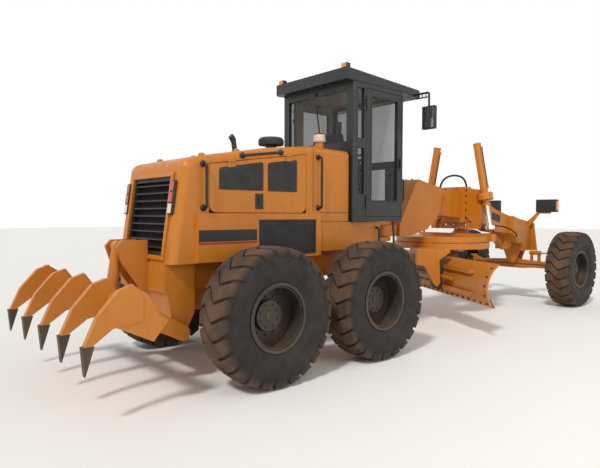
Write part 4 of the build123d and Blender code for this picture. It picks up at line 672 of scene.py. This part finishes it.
# exhaust, air cleaner and cap
EXHAUST_X, EXHAUST_Y = 0.15, TANDEM - 0.52
AIR_CLEANER, CLEANER_FOOT, CLEANER_RIBS = (0.2, TANDEM - 0.05), 2.452, 20
bm = bmesh.new()
z = hood_z(EXHAUST_Y)
stub = arc((EXHAUST_X, EXHAUST_Y - 0.020, z + 0.115), (EXHAUST_X, EXHAUST_Y - 0.028, z + 0.150),
           (EXHAUST_X, EXHAUST_Y - 0.058, z + 0.168), 8)
tube(bm, stub, 0.033, 24)
lathe(bm, (EXHAUST_X, EXHAUST_Y, z - 0.003), (0, -0.18, 1),
      ((0, 0.060), (0.010, 0.060), (0.014, 0.040)), 32)
piece("exhaust_end", bm, steel, "rear")
bm = bmesh.new()
lathe(bm, (*AIR_CLEANER, CLEANER_FOOT), (0, 0, 1),
      ((0, 0.1455), (0.004, 0.149), (0.012, 0.149), (0.016, 0.1455)), 48)
for i in range(CLEANER_RIBS):
    a = 2 * math.pi * i / CLEANER_RIBS
    slab(bm, (0.1435, -0.004, 0.020), (0.148, 0.004, 0.046), (*AIR_CLEANER, CLEANER_FOOT),
         Matrix.Rotation(a, 3, "Z"))
lathe(bm, (*AIR_CLEANER, 2.529), (0, 0, 1), ((0, 0.020), (0.012, 0.020), (0.016, 0.012)), 20)
piece("air_cleaner_trim", bm, plastic, "rear")
bm = bmesh.new()
lathe(bm, (0.35, TANDEM + 0.58, 2.5205), (0, 0, 1),
      ((0, 0.0715), (0.018, 0.0745), (0.030, 0.0745), (0.034, 0.0712), (0.085, 0.0712), (0.101, 0.060),
       (0.1045, 0.030)), 48)
piece("round_cap", bm, cream, "rear")


# Cab

# along: rear, front; up: low, high
DOOR_PANE = (TANDEM + 1.18, TANDEM + 1.69, 1.82, 3.11)
MIRROR_RAIL_Y = TANDEM + 2.08
STEPS, TREADS, TREAD_STEP = (0.770, 1.010, 1.250), 7, 0.0435

for side, s in SIDES:
    seal = bmesh.new()
    y0, y1, z0, z1 = DOOR_PANE
    # how far the seal reaches outside and inside the pane's edges
    over, under = 0.018, 0.004
    for strip in ((y0 - over, y1 + over, z0 - over, z0 + under),
                  (y0 - over, y1 + over, z1 - under, z1 + over),
                  (y0 - over, y0 + under, z0, z1), (y1 - under, y1 + over, z0, z1)):
        side_prism(seal, rectangle(*strip), s * 0.652, s * 0.6635)
    piece(f"door_seal_{side}", seal, plastic, f"cab_door_{side}", round_by=0.002)
    grab = bmesh.new()
    slab(grab, (-0.004, -0.022, -0.09), (0.004, 0.022, 0.09), (s * 0.6635, TANDEM + 1.735, 2.30))
    slab(grab, (-0.010, -0.010, -0.055), (0.010, 0.010, 0.055), (s * 0.678, TANDEM + 1.735, 2.31))
    piece(f"door_handle_{side}", grab, black, f"cab_door_{side}", round_by=0.003)
    # mirror glass and the second rail of its bracket
    bm = bmesh.new()
    slab(bm, (-0.082, -0.0025, -0.135), (0.082, 0.0025, 0.135), (s * 0.87, TANDEM + 2.0585, 2.93))
    piece(f"mirror_glass_{side}", bm, mirror_glass, "rear", round_by=0.0015)
    bm = bmesh.new()
    tube(bm, [(s * 0.662, MIRROR_RAIL_Y, 3.205), (s * 0.845, MIRROR_RAIL_Y, 3.205)], 0.009)
    for x in (0.70, 0.76, 0.82):
        tube(bm, [(s * x, MIRROR_RAIL_Y, 3.200), (s * x, MIRROR_RAIL_Y, 3.262)], 0.007)
    piece(f"mirror_bracket_{side}", bm, black, "rear")
    # treads on the steps
    bm = bmesh.new()
    for z in STEPS:
        for i in range(TREADS):
            y = TANDEM + 1.362 + i * TREAD_STEP
            slab(bm, (-0.048, -0.005, 0.0119), (0.048, 0.005, 0.0165), (s * 0.658, y, z))
    piece(f"step_treads_{side}", bm, black, "rear")

wiper = bmesh.new()
pane_y = TANDEM + 0.842
lathe(wiper, (0, pane_y + 0.009, 3.190), (0, -1, 0), ((0, 0.022), (0.016, 0.022), (0.020, 0.016)), 24)
tube(wiper, [(0, pane_y - 0.008, 3.190), (0.02, pane_y - 0.010, 3.0), (0.055, pane_y - 0.006, 2.80)],
     0.006, 8)
slab(wiper, (-0.006, -0.008, -0.24), (0.006, 0.006, 0.24), (0.055, pane_y - 0.001, 2.80),
     Matrix.Rotation(-0.18, 3, "Y"))
piece("rear_wiper", wiper, plastic, "rear")

# gutter lip under the roof
bm = bmesh.new()
for s in (-1, 1):
    slab(bm, (-0.004, 0, -0.012), (0.004, 1.16, 0), (s * 0.662, TANDEM + 0.74, 3.268))
piece("roof_gutter", bm, black, "rear", round_by=0.002)


def cushion(name, low, high, body):
    """A padded block with bulging faces."""
    bm = bmesh.new()
    bmesh.ops.create_cube(bm, size=1.0)
    bmesh.ops.subdivide_edges(bm, edges=bm.edges, cuts=9, use_grid_fill=True)
    low, high = Vector(low), Vector(high)
    size = high - low
    for v in bm.verts:
        p = v.co * 2
        q = Vector([math.copysign(min(abs(c), 1), c) for c in p])
        pull = [1 - 0.10 * (q[(i + 1) % 3] ** 4 + q[(i + 2) % 3] ** 4) / 2 for i in range(3)]
        soft = Vector([q[i] * pull[i] for i in range(3)])
        v.co = low + Vector([(soft[i] * 0.5 + 0.5) * size[i] for i in range(3)])
    obj = piece(name, bm, seat_cloth, body)


seat_y = TANDEM + 0.99
ARMREST_X = 0.245
base = bmesh.new()
slab(base, (-0.21, 0.12, 1.6105), (0.21, 0.43, 1.70), (0, seat_y, 0))
slab(base, (-0.14, 0.16, 1.70), (0.14, 0.40, 1.93), (0, seat_y, 0))
slab(base, (-0.235, 0.12, 1.93), (0.235, 0.49, 1.985), (0, seat_y, 0))
for s in (-1, 1):
    x = s * ARMREST_X
    slab(base, (x - 0.012, 0.14, 1.96), (x + 0.005, 0.18, 2.24), (0, seat_y, 0))
    slab(base, (x - 0.03, 0.13, 2.235), (x + 0.005, 0.40, 2.275), (0, seat_y, 0))
seat_base = piece("seat_base", base, plastic, "rear", round_by=0.01)
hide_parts("seat")
cushion("seat_cushion", (-0.25, seat_y + 0.10, 1.985), (0.25, seat_y + 0.50, 2.148), "rear")
cushion("seat_back", (-0.235, seat_y + 0.015, 2.09), (0.235, seat_y + 0.155, 2.70), "rear")


# Front frame and saddle

# bolts of the saddle: out, along from its middle, up; of the nose plate: up
SADDLE_SIDE, SADDLE_BOLTS_Y, SADDLE_BOLTS_Z = 0.230, (-0.06, 0.06), (1.60, 1.72, 1.84, 1.96, 2.05)
NOSE_BOLTS_Z = (1.02, 1.11, 1.20, 1.29, 1.38, 1.46)
# the rings that the lift cylinders turn in: half their height, count and circle of their bolts
RING_HALF, RING_BOLTS, RING_BOLT_R = 0.055, 8, 0.106


def nose_bolt_x(z):
    """How far out the nose plate's bolts are: it is wider at its foot."""
    return 0.325 - (z - 0.96) * 0.132


def lift_line(s):
    """Where a lift cylinder turns in the saddle, and its direction down."""
    top, foot = Vector((s * 0.54, SADDLE, 1.94)), Vector((s * 0.64, SADDLE, 1.40))
    return top, (foot - top).normalized()


bolts = bmesh.new()
for s in (-1, 1):
    for z in SADDLE_BOLTS_Z:
        for y in SADDLE_BOLTS_Y:
            bolt(bolts, (s * SADDLE_SIDE, SADDLE + y, z), (s, 0, 0), 0.013)
    for z in NOSE_BOLTS_Z:
        bolt(bolts, (s * nose_bolt_x(z), AXLE + 0.220, z), (0, 1, 0), 0.014)
    top, down = lift_line(s)
    for i in range(RING_BOLTS):
        a = 2 * math.pi * i / RING_BOLTS
        side = Vector((0, 1, 0)) * math.cos(a) + down.cross(Vector((0, 1, 0))) * math.sin(a)
        bolt(bolts, top - down * RING_HALF + side * RING_BOLT_R, -down, 0.009)
        bolt(bolts, top + down * RING_HALF + side * RING_BOLT_R, down, 0.009)
piece("saddle_bolts", bolts, steel, "front")
pin = bmesh.new()
lathe(pin, (0, SADDLE - 0.045, 1.478), (0, 1, 0),
      ((0, 0.012), (0.004, 0.0205), (0.080, 0.0205), (0.080, 0.030), (0.090, 0.030)), 24)
piece("link_pin", pin, bright, "front")

for side, s in SIDES:
    top, down = lift_line(s)
    along_barrel = Vector((0, 0, 1)).rotation_difference(-down).to_matrix()
    bm = bmesh.new()
    lathe(bm, top + down * 0.118, down,
          ((0, 0.0605), (0.003, 0.067), (0.030, 0.067), (0.034, 0.060), (0.036, 0.040)), 40)
    lathe(bm, top - down * 0.892, down,
          ((0, 0.030), (0.002, 0.058), (0.006, 0.0635), (0.030, 0.0635), (0.032, 0.0605)), 40)
    for h in (-0.15, -0.80):
        slab(bm, (0.055, -0.018, -0.022), (0.086, 0.018, 0.022), top + down * h, along_barrel)
    piece(f"lift_ends_{side}", bm, paint, f"lift_barrel_{side}", round_by=0.003)
    bm = bmesh.new()
    offset = along_barrel @ Vector((0.077, 0, 0))
    tube(bm, [top + down * h + offset for h in (-0.165, -0.30, -0.60, -0.79)], 0.008)
    piece(f"lift_pipe_{side}", bm, steel, f"lift_barrel_{side}")

# grey pipes along the gooseneck's top, and a blank plate on the beam
PIPE_LINE = ((2.80, 2.186), (2.90, 2.165), (3.33, 2.091), (3.45, 2.066), (3.98, 2.063))
PIPE_CLIPS = ((2.95, 2.150), (3.25, 2.099), (3.70, 2.055))
pipes = bmesh.new()
for x in (-0.055, 0.055):
    tube(pipes, [(x, TANDEM + y, z) for y, z in PIPE_LINE], 0.011)
for y, z in PIPE_CLIPS:
    slab(pipes, (-0.08, -0.02, -0.004), (0.08, 0.02, 0.022), (0, TANDEM + y, z))
piece("beam_pipes", pipes, bright, "front")
bm = bmesh.new()
slab(bm, (-0.0015, -0.15, -0.065), (0.0020, 0.15, 0.065), (0.1515, TANDEM + 5.20, 1.60),
     Matrix.Rotation(-0.22, 3, "X"))
piece("beam_plate", bm, black, "front", round_by=0.001)


# Blade group

BLADE_TURN = math.radians(-29.25)
ALONG = Vector((math.cos(BLADE_TURN), math.sin(BLADE_TURN), 0))
AHEAD = Vector((-math.sin(BLADE_TURN), math.cos(BLADE_TURN), 0))
BLADE_MID, BLADE_HALF = 0.140, 1.830
# radii of the blade's curve, in front and at the back
BLADE_FRONT_R, BLADE_BACK_R = 0.3632, 0.4015
# the edge's bolts: how many, how far from the blade's ends, and their degrees round its curve
EDGE_BOLTS, EDGE_BOLT_INSET, EDGE_BOLT_TURN = 24, 0.07, -29
# the nuts near the blade's ends: how far from them, and their degrees round its curve
END_BOLT_INSET, END_BOLT_TURNS = 0.055, (-12, 6, 24, 42)


def at_blade(u, v, z):
    """A point from its place along the blade, ahead of it and up from the circle."""
    return Vector((0, CIRCLE, CIRCLE_Z)) + ALONG * u + AHEAD * v + Vector((0, 0, z))


def on_board(u, radius, degrees):
    """A point on the blade's curve, and the direction away from its centre of curvature."""
    a = math.radians(degrees)
    out = AHEAD * -math.cos(a) + Vector((0, 0, math.sin(a)))
    return at_blade(u, 0.042, -0.597) + out * radius, out


front_heads, back_nuts = bmesh.new(), bmesh.new()
bolted = 2 * BLADE_HALF - 2 * EDGE_BOLT_INSET
for i in range(EDGE_BOLTS):
    u = BLADE_MID - BLADE_HALF + EDGE_BOLT_INSET + i * bolted / (EDGE_BOLTS - 1)
    place, out = on_board(u, BLADE_FRONT_R, EDGE_BOLT_TURN)
    lathe(front_heads, place, -out, ((0, 0.017), (0.002, 0.016), (0.003, 0.009)), 16)
    place, out = on_board(u, BLADE_BACK_R, EDGE_BOLT_TURN)
    bolt(back_nuts, place, out, 0.014)
for s in (-1, 1):
    for degrees in END_BOLT_TURNS:
        place, out = on_board(BLADE_MID + s * (BLADE_HALF - END_BOLT_INSET), BLADE_BACK_R, degrees)
        bolt(back_nuts, place, out, 0.012)
piece("edge_bolts", front_heads, steel, "blade")
piece("blade_nuts", back_nuts, steel, "blade")


# Hoses: both ends go into the machine

def hose(name, body, points, diameter):
    """A round hose as one smooth open curve."""
    data = bpy.data.curves.new(name, "CURVE")
    data.dimensions = "3D"
    data.bevel_depth = diameter / 2
    data.bevel_resolution = 4
    data.resolution_u = 16
    line = data.splines.new("NURBS")
    line.points.add(len(points) - 1)
    for point, place in zip(line.points, points):
        point.co = (*place, 1)
    line.order_u = 3
    line.use_endpoint_u = True
    data.materials.append(hose_rubber.mat)
    obj = bpy.data.objects.new(name, data)
    bpy.context.scene.collection.objects.link(obj)
    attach(obj, body)


hose("saddle_hose_upper", "front",
     [(0.10, SADDLE - 0.62, 2.058), (0.10, SADDLE - 0.60, 2.16), (0.12, SADDLE - 0.45, 2.27),
      (0.16, SADDLE - 0.22, 2.30), (0.20, SADDLE - 0.04, 2.24), (0.20, SADDLE, 2.115)], 0.032)
hose("saddle_hose_side", "front",
     [(0.233, SADDLE + 0.02, 1.95), (0.33, SADDLE + 0.03, 1.95), (0.385, SADDLE + 0.18, 1.86),
      (0.35, SADDLE + 0.42, 1.75), (0.25, SADDLE + 0.58, 1.69), (0.153, SADDLE + 0.60, 1.68)], 0.024)
hose("nose_hose", "front",
     [(0.153, AXLE - 1.10, 1.45), (0.24, AXLE - 1.09, 1.45), (0.33, AXLE - 0.95, 1.42),
      (0.355, AXLE - 0.74, 1.34), (0.32, AXLE - 0.54, 1.27), (0.234, AXLE - 0.42, 1.23)], 0.024)

# dark motor that turns the circle
MOTOR_Y, MOTOR_BOLTS, MOTOR_BOLT_R = CIRCLE + 0.60, 4, 0.105
bm = bmesh.new()
lathe(bm, (0, MOTOR_Y, 1.402), (0, 0, 1),
      ((0, 0.074), (0.012, 0.074), (0.014, 0.0675), (0.139, 0.0675), (0.144, 0.060)), 40)
for i in range(MOTOR_BOLTS):
    a = 2 * math.pi * (i + 0.5) / MOTOR_BOLTS
    bolt(bm, (MOTOR_BOLT_R * math.cos(a), MOTOR_Y + MOTOR_BOLT_R * math.sin(a), 1.3995), (0, 0, 1), 0.009)
piece("circle_motor", bm, plastic, "drawbar")


# World, light, floor and camera

world = bpy.data.worlds.new("studio")
bpy.context.scene.world = world
world.use_nodes = True
tree = world.node_tree
tree.nodes.clear()


def background(colour, strength):
    """A plain light from all round."""
    n = tree.nodes.new("ShaderNodeBackground")
    n.inputs["Color"].default_value = (*colour, 1)
    n.inputs["Strength"].default_value = strength
    return n.outputs[0]


def either(a, b):
    """The larger of two sockets' values."""
    n = tree.nodes.new("ShaderNodeMath")
    n.operation = "MAXIMUM"
    tree.links.new(a, n.inputs[0])
    tree.links.new(b, n.inputs[1])
    return n.outputs[0]


# soft light on the object, and white where the camera, a mirror or glass sees past it
ray = tree.nodes.new("ShaderNodeLightPath")
seen = either(ray.outputs["Is Camera Ray"], ray.outputs["Is Transmission Ray"])
blend = tree.nodes.new("ShaderNodeMixShader")
tree.links.new(either(seen, ray.outputs["Is Glossy Ray"]), blend.inputs[0])
tree.links.new(background((1.0, 0.98, 0.95), 0.50), blend.inputs[1])
tree.links.new(background((1, 1, 1), 1.0), blend.inputs[2])
out = tree.nodes.new("ShaderNodeOutputWorld")
tree.links.new(blend.outputs[0], out.inputs[0])


LIGHT_COLOUR = (1, 0.97, 0.92)


def light(name, kind, energy, place, target, size):
    """A lamp that looks at a target; size is its width, or the sun's angle."""
    data = bpy.data.lights.new(name, kind)
    data.energy = energy
    data.color = LIGHT_COLOUR
    if kind == "AREA":
        data.shape = "DISK"
        data.size = size
    else:
        data.angle = size
    obj = bpy.data.objects.new(name, data)
    bpy.context.scene.collection.objects.link(obj)
    obj.location = place
    obj.rotation_euler = (Vector(target) - Vector(place)).to_track_quat("-Z", "Y").to_euler()
    return obj


lamps = [light("sun", "SUN", 1.75, (3.0, -7.0, 9.0), (0, 0, 1), math.radians(7)),
         light("fill", "AREA", 90, (7.0, -2.0, 4.0), (0, 0, 1.2), 5.0)]
FLOOR_HALF = 60
floor_bm = bmesh.new()
floor_mesh = bpy.data.meshes.new("floor")
floor_bm.faces.new([floor_bm.verts.new((x * FLOOR_HALF, y * FLOOR_HALF, 0))
                    for x, y in ((-1, -1), (1, -1), (1, 1), (-1, 1))])
floor_bm.to_mesh(floor_mesh)
floor_paint = Paint("floor", "black", (0.92, 0.92, 0.91), 0.8)
floor_paint.mix(floor_paint.span(floor_paint.noise(0.4), 0.3, 0.7, 0, 0.4), (0.95, 0.95, 0.94))
floor_mesh.materials.append(floor_paint.done(wave_depth=0.0).mat)
floor = bpy.data.objects.new("floor", floor_mesh)
bpy.context.scene.collection.objects.link(floor)

CAMERA_AT = (5.104, -6.1145, 1.648)
yaw, pitch, roll = math.radians(48.515), math.radians(-2.125), math.radians(0.179)
ahead = Vector((-math.sin(yaw) * math.cos(pitch), math.cos(yaw) * math.cos(pitch), math.sin(pitch)))
right = Vector((math.cos(yaw), math.sin(yaw), 0))
up = right.cross(ahead)
right, up = right * math.cos(roll) + up * math.sin(roll), up * math.cos(roll) - right * math.sin(roll)
camera = bpy.data.objects.new("camera", bpy.data.cameras.new("camera"))
bpy.context.scene.collection.objects.link(camera)
turned = Matrix((right, up, -ahead)).transposed().to_4x4()
camera.matrix_world = Matrix.Translation(CAMERA_AT) @ turned
camera.data.lens = 32.2
camera.data.sensor_width = 36
camera.data.clip_end = 200
bpy.context.scene.camera = camera
bpy.context.scene.view_settings.view_transform = "Standard"
